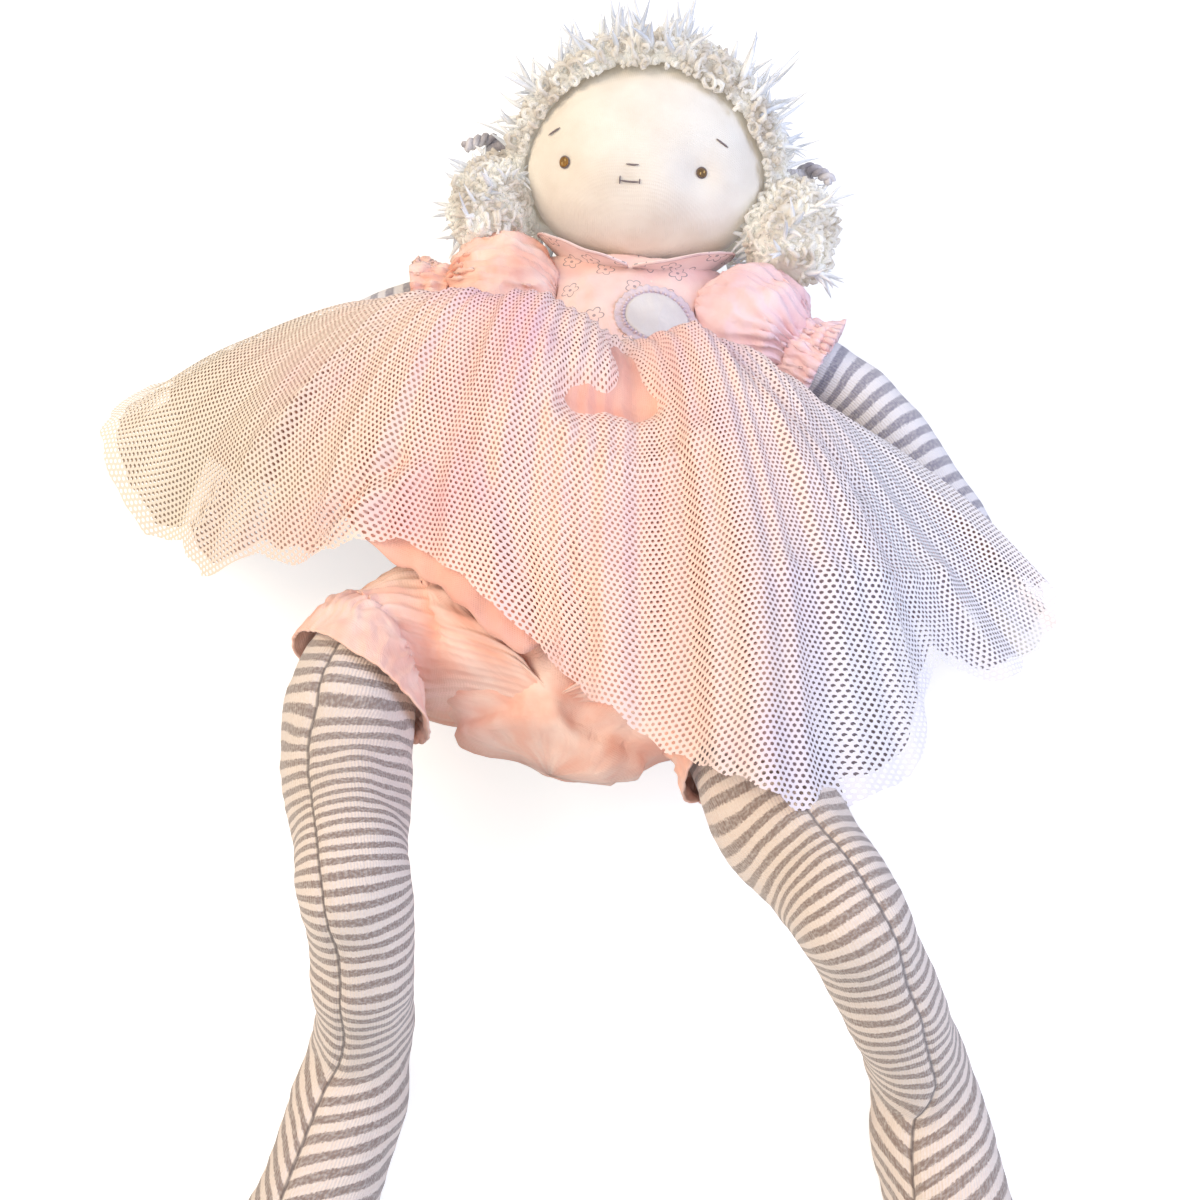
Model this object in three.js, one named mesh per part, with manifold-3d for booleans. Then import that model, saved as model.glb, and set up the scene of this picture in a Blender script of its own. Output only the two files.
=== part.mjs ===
import * as THREE from 'three';
import { mergeVertices } from 'three/addons/utils/BufferGeometryUtils.js';
import Module from 'manifold-3d';

// Rag doll in a net skirt, lying on its back with its knees drawn up and its soles flat.
// Millimetres. +Z is up, +Y runs to the crown of the head, +X to the doll's own left side.
// The seat, the back of the bodice, the hair, the hands and the soles rest on the plane z = 0.
// The feature that takes the most skill is the skirt: three nested layers of one folded surface.

const wasm = await Module();
wasm.setup();

// Clearances and fine sizes
const SEAM_GAP = 0.4;
const CUT_OVERRUN = 60;
const REST_FLAT_DEPTH = 0.5;
const WELD_TOLERANCE = 1e-4;

// Stuffed body
const BODY_LENGTH = 184;
const BODY_HALF_WIDTH = 37;
const BODY_HALF_DEPTH = 26;
const LUMBAR_RISE = 8.5;
const CLOTH_THICKNESS = 1.2;

// Neck and head
const NECK_RADIUS = 14;
const NECK_CLEARANCE = 5;
const NECK_STATION = BODY_LENGTH + NECK_CLEARANCE;
const NECK_HEIGHT = 28;
const HEAD_NOD_DEGREES = 30;
const HEAD_RISE = 42;
const HEAD_HALF_WIDTH = 45;
const HEAD_HALF_DEPTH = 38;
const CROWN_RISE = 43;
const CHIN_DROP = 31.5;

// Hair
const HAIR_THICKNESS = 12;
const HAIR_BACK_THICKNESS = 13.4;
const HAIRLINE_RISE = 27;
const HAIRLINE_DEPTH = 25;
const EAR_DROP = 12;
const NAPE_DROP = 19;
const BUNCH_RADIUS_LEFT = 17.5;
const BUNCH_RADIUS_RIGHT = 15;
const BUNCH_LENGTH = 42;
const BUNCH_SPREAD = 57;
const TIE_RISE = 44.2;
const TIE_STATION = NECK_STATION + TIE_RISE;
const TIE_HEIGHT = 47;
const TIE_RING_RADIUS = 6.2;
const TIE_THICKNESS = 2.4;

// Stitched face
const FACE_SHIFT = -2.5;
const EYE_RADIUS = 2;
const EYE_BULGE = 1;
const EYE_SPACING = 52;
const EYE_DROP = 5.3;
const BROW_SPACING = 61;
const BROW_RISE = 6.2;
const BROW_LENGTH = 3;
const BROW_LEAN_DEGREES = 28;
const NOSE_DROP = 7;
const NOSE_LENGTH = 3.8;
const MOUTH_DROP = 12.3;
const MOUTH_LENGTH = 6.4;
const STITCH_THICKNESS = 0.8;

// Bodice, collar and badge
const WAISTBAND_WIDTH = 7;
const WAISTBAND_THICKNESS = 2.4;
const COLLAR_THICKNESS = 1.1;
const COLLAR_INNER_RADIUS = 19;
const COLLAR_FRONT_RADIUS = 30;
const COLLAR_SIDE_RADIUS = 40;
const COLLAR_INNER_RISE = 3;
const COLLAR_SIDE_RISE = 13;
const COLLAR_START_DEGREES = 3;
const COLLAR_END_DEGREES = 104;
const BADGE_RADIUS = 11.5;
const BADGE_THICKNESS = 1;
const BADGE_OFFSET = 13;
const BADGE_DROP = 31;
const BADGE_STATION = BODY_LENGTH - BADGE_DROP;
const BADGE_FRILL_WIDTH = 3.8;
const BADGE_SEAT_GAP = 0.7;

// Sleeves and arms
const SHOULDER_SPREAD = 46;
const SHOULDER_DROP = 18;
const SHOULDER_STATION = BODY_LENGTH - SHOULDER_DROP;
const SHOULDER_HEIGHT = 36;
const SLEEVE_RADIUS = 23;
const SLEEVE_MOUTH_RADIUS = 15;
const FRILL_LENGTH = 9;
const FRILL_FLARE = 5.5;
const FRILL_WAVE = 1.6;
const ELASTIC_WIDTH = 3;
const ELASTIC_THICKNESS = 0.8;
const ARM_RADIUS = 12;
const WRIST_RADIUS = 10;
const LEFT_ARM_REACH = 95;
const RIGHT_ARM_REACH = 98;
const HAND_RADIUS = 11.5;
const HAND_LENGTH = 25;
const LEFT_HAND_TURN_DEGREES = -12;
const RIGHT_HAND_TURN_DEGREES = 6;

// Hips, legs and bloomers
const HIP_SPREAD = 26;
const HIP_STATION = 28;
const HIP_HEIGHT = 30;
const KNEE_HEIGHT = 82;
const LEFT_KNEE_SPLAY = 55;
const LEFT_KNEE_RUN = 82;
const RIGHT_THIGH_SPLAY = 33;
const RIGHT_KNEE_RUN = 88;
const HIP_RADIUS = 15;
const THIGH_RADIUS = 18;
const KNEE_RADIUS = 12.5;
const SHIN_RADIUS = 12.5;
const ANKLE_RADIUS = 13.5;
const FOOT_RADIUS = 16;
const LEFT_FOOT_SPLAY = 43;
const LEFT_FOOT_RUN = 70;
const RIGHT_FOOT_SPLAY = 6;
const RIGHT_FOOT_RUN = 76;
const BLOOMER_LENGTH = 92;
const BLOOMER_FULLNESS = 20;
const BLOOMER_WAIST_STATION = 80;
const BLOOMER_LEG_EASE = 2.2;
const CUFF_EASE = 0.6;
const CUFF_FLARE = 1.6;

// Net skirt and its cotton underskirt
const WAIST_DROP = 54;
const SKIRT_STATION = BODY_LENGTH - WAIST_DROP;
const SKIRT_HALF_SPAN = 150;
const SKIRT_LENGTH = SKIRT_STATION;
const SKIRT_HEIGHT = 90;
const SKIRT_EASE = 7.6;
const SKIRT_LAYER_STEP = 1.6;
const NET_THICKNESS = 0.7;
const SKIRT_FLOOR_CLEARANCE = 1;
const SKIRT_FOLD_DEPTH = 3;

// Mesh fineness, as counts
const BODY_SIDES = 20;
const HEAD_SIDES = 24;
const HEAD_BANDS = 14;
const LIMB_SIDES = 12;
const LIMB_STEPS = 10;
const SLEEVE_SIDES = 16;
const SMALL_SIDES = 10;
const SKIRT_SIDES = 60;
const SKIRT_BANDS = 8;
const SKIRT_FOLDS = 15;
const FRILL_WAVES = 6;
const FRILL_SIDES = 24;
const FRAME_STEPS = 60;
const END_RINGS = 3;
const BUNCH_BANDS = 9;
const STITCH_SIDES = 6;
const STITCH_CAP_RINGS = 3;
const COLLAR_TURNS = 9;
const SLEEVE_BANDS = 9;
const HIP_BANDS = 5;
const HAND_STEPS = 5;
const BLOOMER_LEG_BANDS = 5;
const CUFF_BANDS = 3;

// Colours
const CALICO = 0xf3e6d2;
const BOUCLE = 0xf1ece4;
const PEACH = 0xf2b9a3;
const NET = 0xf6dcd2;
const GREY_JERSEY = 0xb9aeb2;
const THREAD = 0x6b6064;
const AMBER = 0xb07c30;
const BADGE = 0xe3dcdd;
const ELASTIC = 0xf7f3ee;

const point = (x, y, z) => new THREE.Vector3(x, y, z);
const mixed = THREE.MathUtils.lerp;
const radians = THREE.MathUtils.degToRad;

// Reads a table of [share, value, value ...] rows and eases between its rows.
function easedTable(rows) {
  return (share) => {
    const last = rows.length - 1;
    let row = 0;
    while (row < last - 1 && share > rows[row + 1][0]) {
      row += 1;
    }
    const [low, high] = [rows[row], rows[row + 1]];
    const within = THREE.MathUtils.smoothstep(share, low[0], high[0]);
    const linear = THREE.MathUtils.clamp((share - low[0]) / (high[0] - low[0]), 0, 1);
    return low.slice(1).map((value, column) => mixed(value, high[column + 1], (within + linear) / 2));
  };
}

// Closed body from positions and triangles, turned to face outwards.
function closedBody(positions, triangles) {
  let volume = 0;
  for (const [a, b, c] of triangles) {
    volume += positions[a].dot(positions[b].clone().cross(positions[c]));
  }
  const index = triangles.flatMap(([a, b, c]) => (volume < 0 ? [a, c, b] : [a, b, c]));
  const geometry = new THREE.BufferGeometry();
  const values = positions.flatMap((p) => p.toArray());
  geometry.setAttribute('position', new THREE.Float32BufferAttribute(values, 3));
  geometry.setIndex(index);
  return geometry;
}

// Skin between successive rings of equal count. Its diagonals lean one way up to the
// turning ring and the other way from there, so that the two faces of a wall match.
function ringBands(count, sides, wraps, turning = count) {
  const triangles = [];
  const bands = wraps ? count : count - 1;
  for (let band = 0; band < bands; band += 1) {
    const here = band * sides;
    const next = ((band + 1) % count) * sides;
    for (let side = 0; side < sides; side += 1) {
      const after = (side + 1) % sides;
      const [low, high] = band < turning ? [side, after] : [after, side];
      triangles.push([here + side, here + after, next + high]);
      triangles.push([here + low, next + after, next + side]);
    }
  }
  return triangles;
}

// Stack of rings closed by a fan at each end.
function cappedLoft(rings) {
  const sides = rings[0].length;
  const positions = rings.flat();
  const triangles = ringBands(rings.length, sides, false);
  for (const [ring, flips] of [[0, true], [rings.length - 1, false]]) {
    const centre = positions.length;
    const mean = rings[ring].reduce((sum, p) => sum.add(p), point(0, 0, 0)).divideScalar(sides);
    positions.push(mean);
    for (let side = 0; side < sides; side += 1) {
      const edge = [ring * sides + side, ring * sides + ((side + 1) % sides)];
      triangles.push(flips ? [centre, edge[1], edge[0]] : [centre, edge[0], edge[1]]);
    }
  }
  return closedBody(positions, triangles);
}

// Thin-walled tube: the outer rings from end to end, then the inner rings back again.
function walledTube(outerRings, innerRings) {
  const rings = [...outerRings, ...innerRings.slice().reverse()];
  return closedBody(rings.flat(), ringBands(rings.length, rings[0].length, true, outerRings.length));
}

// Elliptical ring across the body, at one distance along it.
function bodyRing(station, centreHeight, halfWidth, halfDepth, sides = BODY_SIDES) {
  return Array.from({ length: sides }, (_, side) => {
    const turn = (side / sides) * Math.PI * 2;
    return point(halfWidth * Math.cos(turn), station, centreHeight + halfDepth * Math.sin(turn));
  });
}

function toSolid(geometry) {
  const bare = geometry.clone();
  bare.deleteAttribute('normal');
  bare.deleteAttribute('uv');
  const merged = mergeVertices(bare, WELD_TOLERANCE);
  return new wasm.Manifold(new wasm.Mesh({
    numProp: 3,
    vertProperties: new Float32Array(merged.attributes.position.array),
    triVerts: new Uint32Array(merged.index.array),
  }));
}

function toGeometry(solid) {
  const mesh = mainBody(solid).getMesh();
  const geometry = new THREE.BufferGeometry();
  geometry.setAttribute('position', new THREE.Float32BufferAttribute(mesh.vertProperties, 3));
  geometry.setIndex(Array.from(mesh.triVerts));
  return geometry;
}

function ball(centre, radius, sides = SLEEVE_SIDES) {
  const sphere = new THREE.SphereGeometry(radius, sides, sides / 2);
  sphere.rotateX(Math.PI / 2);
  return toSolid(sphere.translate(centre.x, centre.y, centre.z));
}

// Room for a ball to turn in: its flat facets stay outside the ball and its gap.
function socket(centre, radius, sides = SLEEVE_SIDES) {
  const facetShare = Math.cos(Math.PI / sides) ** 2;
  return ball(centre, (radius + SEAM_GAP) / facetShare, sides);
}

// Everything under the plane that the doll lies on.
function floorBlock() {
  const reach = 2 * (SKIRT_HALF_SPAN + BODY_LENGTH);
  const block = new THREE.BoxGeometry(2 * reach, 2 * reach, CUT_OVERRUN);
  return toSolid(block.translate(0, 0, -CUT_OVERRUN / 2));
}

const restingOnFloor = (solid) => solid.subtract(floorBlock());

// Largest body of a cut solid, without the crumbs that a cut can leave beside it.
function mainBody(solid) {
  return solid.decompose().reduce((best, part) => (part.volume() > best.volume() ? part : best));
}

// A table of shares along a limb becomes its centre line.
function centreLine(start, shares, scales) {
  const points = shares.map(([x, y, z]) => point(
    start.x + x * scales[0],
    start.y + y * scales[1],
    start.z + z * scales[2],
  ));
  return new THREE.CatmullRomCurve3([start.clone(), ...points], false, 'centripetal');
}

// Rings square to a centre line, with radius as a function of the share along it.
function ringsAlong(line, from, to, steps, radiusAt, sides = LIMB_SIDES, waveAt = null) {
  const frames = line.computeFrenetFrames(FRAME_STEPS, false);
  return Array.from({ length: steps + 1 }, (_, step) => {
    const share = mixed(from, to, step / steps);
    const frame = Math.round(share * FRAME_STEPS);
    const centre = line.getPointAt(share);
    return Array.from({ length: sides }, (_, side) => {
      const turn = (side / sides) * Math.PI * 2;
      const wave = waveAt ? waveAt(step / steps, turn) : 0;
      const radius = radiusAt(share) + wave;
      return centre.clone()
        .addScaledVector(frames.normals[frame], radius * Math.cos(turn))
        .addScaledVector(frames.binormals[frame], radius * Math.sin(turn));
    });
  });
}

// Turns of the rings that round off a limb, from its last full ring to a small one.
const END_RING_TURNS = Array.from(
  { length: END_RINGS },
  (_, ring) => ((ring + 1) / (END_RINGS + 1 / 2)) * (Math.PI / 2),
);

// Stuffed limb with a ball-shaped start and a round tip.
function stuffedLimb(line, radiusAt, steps, ease = 0) {
  const eased = (share) => radiusAt(share) + ease;
  const rings = ringsAlong(line, 0, 1, steps, eased);
  const capped = [...rings];
  for (const [end, outward] of [[0, -1], [1, 1]]) {
    const centre = line.getPointAt(end);
    const tangent = line.getTangentAt(end).multiplyScalar(outward);
    const radius = eased(end);
    for (const turn of END_RING_TURNS) {
      const ring = rings[end * steps].map((p) => centre.clone()
        .addScaledVector(p.clone().sub(centre), Math.cos(turn))
        .addScaledVector(tangent, radius * Math.sin(turn)));
      if (end === 0) {
        capped.unshift(ring);
      } else {
        capped.push(ring);
      }
    }
  }
  return toSolid(cappedLoft(capped));
}

// Stuffed body: station, half width, half depth and rise of its underside, as shares.
const BODY_TABLE_SHARES = [
  [-0.02, 0.3, 0.3, 2.4],
  [0.03, 0.66, 0.68, 0.8],
  [0.14, 0.97, 0.95, 0.05],
  [0.3, 1, 1, 0],
  [0.5, 0.89, 0.92, 1],
  [0.7, 0.87, 0.9, 1],
  [0.82, 0.95, 1, 0],
  [0.91, 0.94, 0.94, 0.25],
  [0.96, 0.76, 0.78, 0.9],
  [0.99, 0.44, 0.52, 2],
];
// Rings of the body, and the stretch of it that the bodice covers, as shares of its length
const BODY_RING_SHARES = [-0.02, 0.01, 0.05, 0.14, 0.3, 0.4, 0.5, 0.68, 0.73, 0.82, 0.91, 0.965, 0.99];
const BODICE_START_SHARE = 0.73;
const BODICE_END_SHARE = 0.965;
const BODICE_RING_SHARES = BODY_RING_SHARES.filter(
  (share) => share >= BODICE_START_SHARE && share <= BODICE_END_SHARE,
);
const BODICE_START = BODICE_START_SHARE * BODY_LENGTH;
const bodyShareAt = easedTable(BODY_TABLE_SHARES);
const BODY_UNDERSIDE = CLOTH_THICKNESS + SEAM_GAP - REST_FLAT_DEPTH;

// Half width, half depth and centre height of the body at one distance from the crotch.
function bodySection(station) {
  const [width, depth, rise] = bodyShareAt(station / BODY_LENGTH);
  const halfDepth = depth * BODY_HALF_DEPTH;
  return {
    halfWidth: width * BODY_HALF_WIDTH,
    halfDepth,
    centreHeight: BODY_UNDERSIDE + rise * LUMBAR_RISE + halfDepth,
  };
}

function bodySectionRing(station, ease) {
  const section = bodySection(station);
  const halfWidth = section.halfWidth + ease;
  return bodyRing(station, section.centreHeight, halfWidth, section.halfDepth + ease);
}

// Places that several pieces share
const NECK_PIVOT = point(0, NECK_STATION, NECK_HEIGHT);
const HEAD_UP = point(0, Math.cos(radians(HEAD_NOD_DEGREES)), Math.sin(radians(HEAD_NOD_DEGREES)));
const HEAD_FRONT = point(0, -HEAD_UP.z, HEAD_UP.y);
const HEAD_CENTRE = NECK_PIVOT.clone().addScaledVector(HEAD_UP, HEAD_RISE);
const shoulderPivot = (side) => point(side * SHOULDER_SPREAD, SHOULDER_STATION, SHOULDER_HEIGHT);
const hipPivot = (side) => point(side * HIP_SPREAD, HIP_STATION, HIP_HEIGHT);

// Where a point given across, up and to the front of the head lies in the doll.
function onHead(across, up, front) {
  return HEAD_CENTRE.clone()
    .add(point(across, 0, 0))
    .addScaledVector(HEAD_UP, up)
    .addScaledVector(HEAD_FRONT, front);
}

// Head-shaped body: wider than deep, full at the cheeks and taller over them than under.
function headForm(halfWidth, halfDepth, crown, chin, sides = HEAD_SIDES, bands = HEAD_BANDS) {
  const rings = [];
  for (let band = 1; band < bands; band += 1) {
    const fall = (band / bands) * Math.PI;
    const up = Math.cos(fall) * (fall < Math.PI / 2 ? crown : chin);
    rings.push(Array.from({ length: sides }, (_, side) => {
      const turn = (side / sides) * Math.PI * 2;
      const [across, front] = [halfWidth * Math.cos(turn), halfDepth * Math.sin(turn)];
      return onHead(across * Math.sin(fall), up, front * Math.sin(fall));
    }));
  }
  return toSolid(cappedLoft(rings));
}

const headWithEase = (ease) => headForm(
  HEAD_HALF_WIDTH + ease,
  HEAD_HALF_DEPTH + ease,
  CROWN_RISE + ease,
  CHIN_DROP + ease,
);

// Distance from the middle of the head to its face, at a place across and up it.
function faceDepth(across, up) {
  const rise = up / (up > 0 ? CROWN_RISE : CHIN_DROP);
  return HEAD_HALF_DEPTH * Math.sqrt(Math.max(0, 1 - (across / HEAD_HALF_WIDTH) ** 2 - rise ** 2));
}

// Arms: one centre line a side, from inside the shoulder to the wrist.
const LEFT_ARM_SHARES = [
  [0.21, -0.1, -0.05],
  [0.42, -0.2, -0.22],
  [0.79, -0.6, -0.68],
  [1, -0.92, -1],
];
const RIGHT_ARM_SHARES = [
  [-0.22, 0, -0.12],
  [-0.45, -0.06, -0.36],
  [-0.74, -0.2, -0.78],
  [-1, -0.4, -1],
];
const WRIST_DROP = SHOULDER_HEIGHT - WRIST_RADIUS - 2 * REST_FLAT_DEPTH;

function armLine(side) {
  const reach = side > 0 ? LEFT_ARM_REACH : RIGHT_ARM_REACH;
  const shares = side > 0 ? LEFT_ARM_SHARES : RIGHT_ARM_SHARES;
  const pivot = shoulderPivot(side);
  const rest = centreLine(pivot, shares, [reach, reach, WRIST_DROP]);
  const inward = rest.points[1].clone().sub(pivot).setLength(ARM_RADIUS - SLEEVE_RADIUS);
  return new THREE.CatmullRomCurve3([pivot.clone().add(inward), ...rest.points], false, 'centripetal');
}

const armRadiusTable = easedTable([
  [0, ARM_RADIUS - SEAM_GAP],
  [0.5, ARM_RADIUS],
  [1, WRIST_RADIUS],
]);
const armRadius = (share) => armRadiusTable(share)[0];
const handRadiusTable = easedTable([
  [0, WRIST_RADIUS],
  [0.7, HAND_RADIUS],
  [1, HAND_RADIUS - SEAM_GAP],
]);

// Legs: the thigh from hip to knee, then the shin with its foot.
const LEFT_THIGH_SHARES = [
  [0.22, 0, 0],
  [0.45, -0.17, 0.17],
  [0.57, -0.4, 0.4],
  [0.74, -0.68, 0.6],
  [1, -1, 1],
];
const RIGHT_THIGH_SHARES = [
  [-0.36, 0, 0],
  [-0.85, -0.06, 0.12],
  [-1, -0.24, 0.34],
  [-0.82, -0.57, 0.53],
  [-0.36, -1, 1],
];
const LEFT_SHIN_SHARES = [
  [0.37, -0.2, 0.4],
  [0.7, -0.37, 0.86],
  [0.84, -0.6, 0.985],
  [1, -1, 1],
];
const RIGHT_SHIN_SHARES = [
  [0.4, -0.24, 0.39],
  [0, -0.42, 0.86],
  [-0.4, -0.64, 0.985],
  [-1, -1, 1],
];
const FOOT_CENTRE_HEIGHT = FOOT_RADIUS - REST_FLAT_DEPTH;

function thighLine(side) {
  const splay = side > 0 ? LEFT_KNEE_SPLAY : RIGHT_THIGH_SPLAY;
  const run = side > 0 ? LEFT_KNEE_RUN : RIGHT_KNEE_RUN;
  const shares = side > 0 ? LEFT_THIGH_SHARES : RIGHT_THIGH_SHARES;
  return centreLine(hipPivot(side), shares, [splay, run, KNEE_HEIGHT - HIP_HEIGHT]);
}

function shinLine(side) {
  const knee = thighLine(side).getPointAt(1);
  const splay = side > 0 ? LEFT_FOOT_SPLAY : RIGHT_FOOT_SPLAY;
  const run = side > 0 ? LEFT_FOOT_RUN : RIGHT_FOOT_RUN;
  const shares = side > 0 ? LEFT_SHIN_SHARES : RIGHT_SHIN_SHARES;
  return centreLine(knee, shares, [splay, run, FOOT_CENTRE_HEIGHT - KNEE_HEIGHT]);
}

const thighRadiusTable = easedTable([
  [0, HIP_RADIUS],
  [0.22, HIP_RADIUS],
  [0.45, THIGH_RADIUS],
  [0.68, THIGH_RADIUS],
  [1, KNEE_RADIUS],
]);
const shinRadiusTable = easedTable([
  [0, SHIN_RADIUS],
  [0.35, SHIN_RADIUS],
  [0.56, ANKLE_RADIUS],
  [0.75, FOOT_RADIUS],
  [1, FOOT_RADIUS],
]);
const thighRadius = (share) => thighRadiusTable(share)[0];
const shinRadius = (share) => shinRadiusTable(share)[0];

// Shares along the thigh where the bloomer leg and its cuff start and end, and the
// stretch of a half wave that the leg's puff follows
const BLOOMER_LEG_START_SHARE = 0.1;
const CUFF_START_SHARE = 0.3;
const CUFF_END_SHARE = 0.44;
const PUFF_START_SHARE = 0.2;
const PUFF_END_SHARE = 0.9;

const pieces = new THREE.Group();

function addPiece(name, geometry, color, roughness = 0.9) {
  const material = new THREE.MeshStandardMaterial({ color, roughness, metalness: 0 });
  const mesh = new THREE.Mesh(geometry, material);
  mesh.name = name;
  pieces.add(mesh);
}

function sideName(side) {
  return side > 0 ? 'left' : 'right';
}

// Space round a hip that the thigh needs as it swings about the line across the doll.
function hipClearance(side) {
  const profile = [];
  const reach = (HIP_RADIUS + SEAM_GAP) / Math.cos(Math.PI / SLEEVE_SIDES) ** 2;
  for (let band = 0; band <= HIP_BANDS; band += 1) {
    const turn = (band / HIP_BANDS) * (Math.PI / 2);
    profile.push(new THREE.Vector2(reach * Math.sin(turn), -reach * Math.cos(turn)));
  }
  profile.push(new THREE.Vector2(reach + SEAM_GAP, BODY_HALF_WIDTH - HIP_SPREAD));
  profile.push(new THREE.Vector2(THIGH_RADIUS + BLOOMER_LEG_EASE, 2 * (BODY_HALF_WIDTH - HIP_SPREAD)));
  profile.push(new THREE.Vector2(0, 2 * (BODY_HALF_WIDTH - HIP_SPREAD)));
  const lathe = new THREE.LatheGeometry(profile, SLEEVE_SIDES);
  lathe.rotateZ(-side * Math.PI / 2);
  const pivot = hipPivot(side);
  return toSolid(lathe.translate(pivot.x, pivot.y, pivot.z));
}

function addTorso() {
  let torso = toSolid(cappedLoft(BODY_RING_SHARES.map((share) => bodySectionRing(share * BODY_LENGTH, 0))));
  for (const side of [1, -1]) {
    torso = torso.subtract(socket(shoulderPivot(side), SLEEVE_RADIUS));
    torso = torso.subtract(hipClearance(side));
  }
  torso = torso.subtract(socket(NECK_PIVOT, NECK_RADIUS));
  addPiece('torso', toGeometry(torso), CALICO);
}

function addBodice() {
  const ring = (share, ease) => bodySectionRing(share * BODY_LENGTH, ease);
  const inner = BODICE_RING_SHARES.map((share) => ring(share, SEAM_GAP));
  const outer = BODICE_RING_SHARES.map((share) => ring(share, SEAM_GAP + CLOTH_THICKNESS));
  let bodice = restingOnFloor(toSolid(walledTube(outer, inner)));
  for (const side of [1, -1]) {
    bodice = bodice.subtract(socket(shoulderPivot(side), SLEEVE_RADIUS));
  }
  bodice = bodice.subtract(socket(NECK_PIVOT, NECK_RADIUS));
  addPiece('bodice', toGeometry(bodice), PEACH);
}

function addWaistband() {
  const end = BODICE_START - SEAM_GAP;
  const stations = [end - WAISTBAND_WIDTH, end - WAISTBAND_WIDTH / 2, end];
  const outer = stations.map((station) => bodySectionRing(station, 2 * SEAM_GAP + WAISTBAND_THICKNESS));
  const inner = stations.map((station) => bodySectionRing(station, 2 * SEAM_GAP));
  addPiece('waistband', walledTube(outer, inner), PEACH);
}

function addNeck() {
  addPiece('neck', toGeometry(ball(NECK_PIVOT, NECK_RADIUS)), CALICO);
}

function addHead() {
  const head = headWithEase(0).subtract(socket(NECK_PIVOT, NECK_RADIUS));
  addPiece('head', toGeometry(head), CALICO);
}

// Cap of looped yarn: a thick shell behind the face, open at the face and the nape.
function addHair() {
  const cap = headForm(
    HEAD_HALF_WIDTH + HAIR_THICKNESS,
    HEAD_HALF_DEPTH + HAIR_BACK_THICKNESS,
    CROWN_RISE + HAIR_THICKNESS,
    CHIN_DROP + HAIR_THICKNESS,
    SLEEVE_SIDES,
    SMALL_SIDES,
  );
  const reach = 2 * (HEAD_HALF_WIDTH + HAIR_THICKNESS) + CUT_OVERRUN;
  const lean = Math.atan2(HAIRLINE_DEPTH, HAIRLINE_RISE + EAR_DROP);
  const face = new THREE.BoxGeometry(reach, reach, reach);
  face.translate(0, 0, reach / 2);
  face.rotateX(lean);
  face.translate(0, -EAR_DROP, 0);
  const nape = new THREE.BoxGeometry(reach, reach, reach);
  nape.translate(0, -NAPE_DROP - reach / 2, 0);
  const pose = new THREE.Matrix4().makeBasis(point(1, 0, 0), HEAD_UP, HEAD_FRONT).setPosition(HEAD_CENTRE);
  const hair = cap
    .subtract(headWithEase(SEAM_GAP))
    .subtract(toSolid(face.applyMatrix4(pose)))
    .subtract(toSolid(nape.applyMatrix4(pose)));
  const tieReach = TIE_RING_RADIUS + TIE_THICKNESS;
  const parted = [1, -1].reduce(
    (rest, side) => rest.subtract(bunchForm(side, SEAM_GAP)).subtract(socket(tieCentre(side), tieReach)),
    hair,
  );
  addPiece('hair_cap', toGeometry(restingOnFloor(parted)), BOUCLE);
}

// Middle of a tie, about which its bunch swings
const tieCentre = (side) => point(side * BUNCH_SPREAD, TIE_STATION, TIE_HEIGHT);

// Width of a side bunch from its tie to its tips, as shares of its length and radius
const BUNCH_TABLE_SHARES = [
  [0, 0.3],
  [0.1, 0.52],
  [0.3, 0.88],
  [0.55, 1],
  [0.8, 0.86],
  [0.94, 0.56],
  [1, 0.3],
];
const bunchShareAt = easedTable(BUNCH_TABLE_SHARES);

// Side bunch of yarn, hanging from its tie.
function bunchForm(side, ease) {
  const radius = (side > 0 ? BUNCH_RADIUS_LEFT : BUNCH_RADIUS_RIGHT) + ease;
  const top = tieCentre(side).sub(point(0, TIE_THICKNESS + 2 * SEAM_GAP, 0));
  const rings = [];
  for (let band = 0; band <= BUNCH_BANDS; band += 1) {
    const share = band / BUNCH_BANDS;
    const wide = radius * bunchShareAt(share)[0];
    const station = top.y + ease - (BUNCH_LENGTH + 2 * ease) * share;
    rings.push(bodyRing(station, top.z, wide, wide, LIMB_SIDES)
      .map((p) => p.add(point(top.x, 0, 0))));
  }
  return toSolid(cappedLoft(rings));
}

function addBunch(side) {
  const bunch = bunchForm(side, 0)
    .subtract(headWithEase(SEAM_GAP))
    .subtract(socket(shoulderPivot(side), SLEEVE_RADIUS));
  addPiece(`bunch_${sideName(side)}`, toGeometry(bunch), BOUCLE);
}

function addHairTie(side) {
  const ring = new THREE.TorusGeometry(TIE_RING_RADIUS, TIE_THICKNESS, STITCH_SIDES, LIMB_SIDES);
  ring.rotateX(Math.PI / 2);
  const centre = tieCentre(side);
  addPiece(`hair_tie_${sideName(side)}`, ring.translate(centre.x, centre.y, centre.z), GREY_JERSEY);
}

// Embroidered eye: a low padded dot on the face.
function addEye(side) {
  const across = FACE_SHIFT + side * EYE_SPACING / 2;
  const dome = new THREE.SphereGeometry(EYE_RADIUS, SMALL_SIDES, STITCH_SIDES);
  dome.scale(1, 1, EYE_BULGE / EYE_RADIUS);
  const normal = faceNormal(across, -EYE_DROP);
  const place = onHead(across, -EYE_DROP, faceDepth(across, -EYE_DROP));
  place.addScaledVector(normal, EYE_BULGE + SEAM_GAP);
  addPiece(`eye_${sideName(side)}`, placedOnFace(dome, place, normal), AMBER, 0.6);
}

function faceNormal(across, up) {
  const chin = up > 0 ? CROWN_RISE : CHIN_DROP;
  const front = faceDepth(across, up);
  return point(across / HEAD_HALF_WIDTH ** 2, 0, 0)
    .addScaledVector(HEAD_UP, up / chin ** 2)
    .addScaledVector(HEAD_FRONT, front / HEAD_HALF_DEPTH ** 2)
    .normalize();
}

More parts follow.
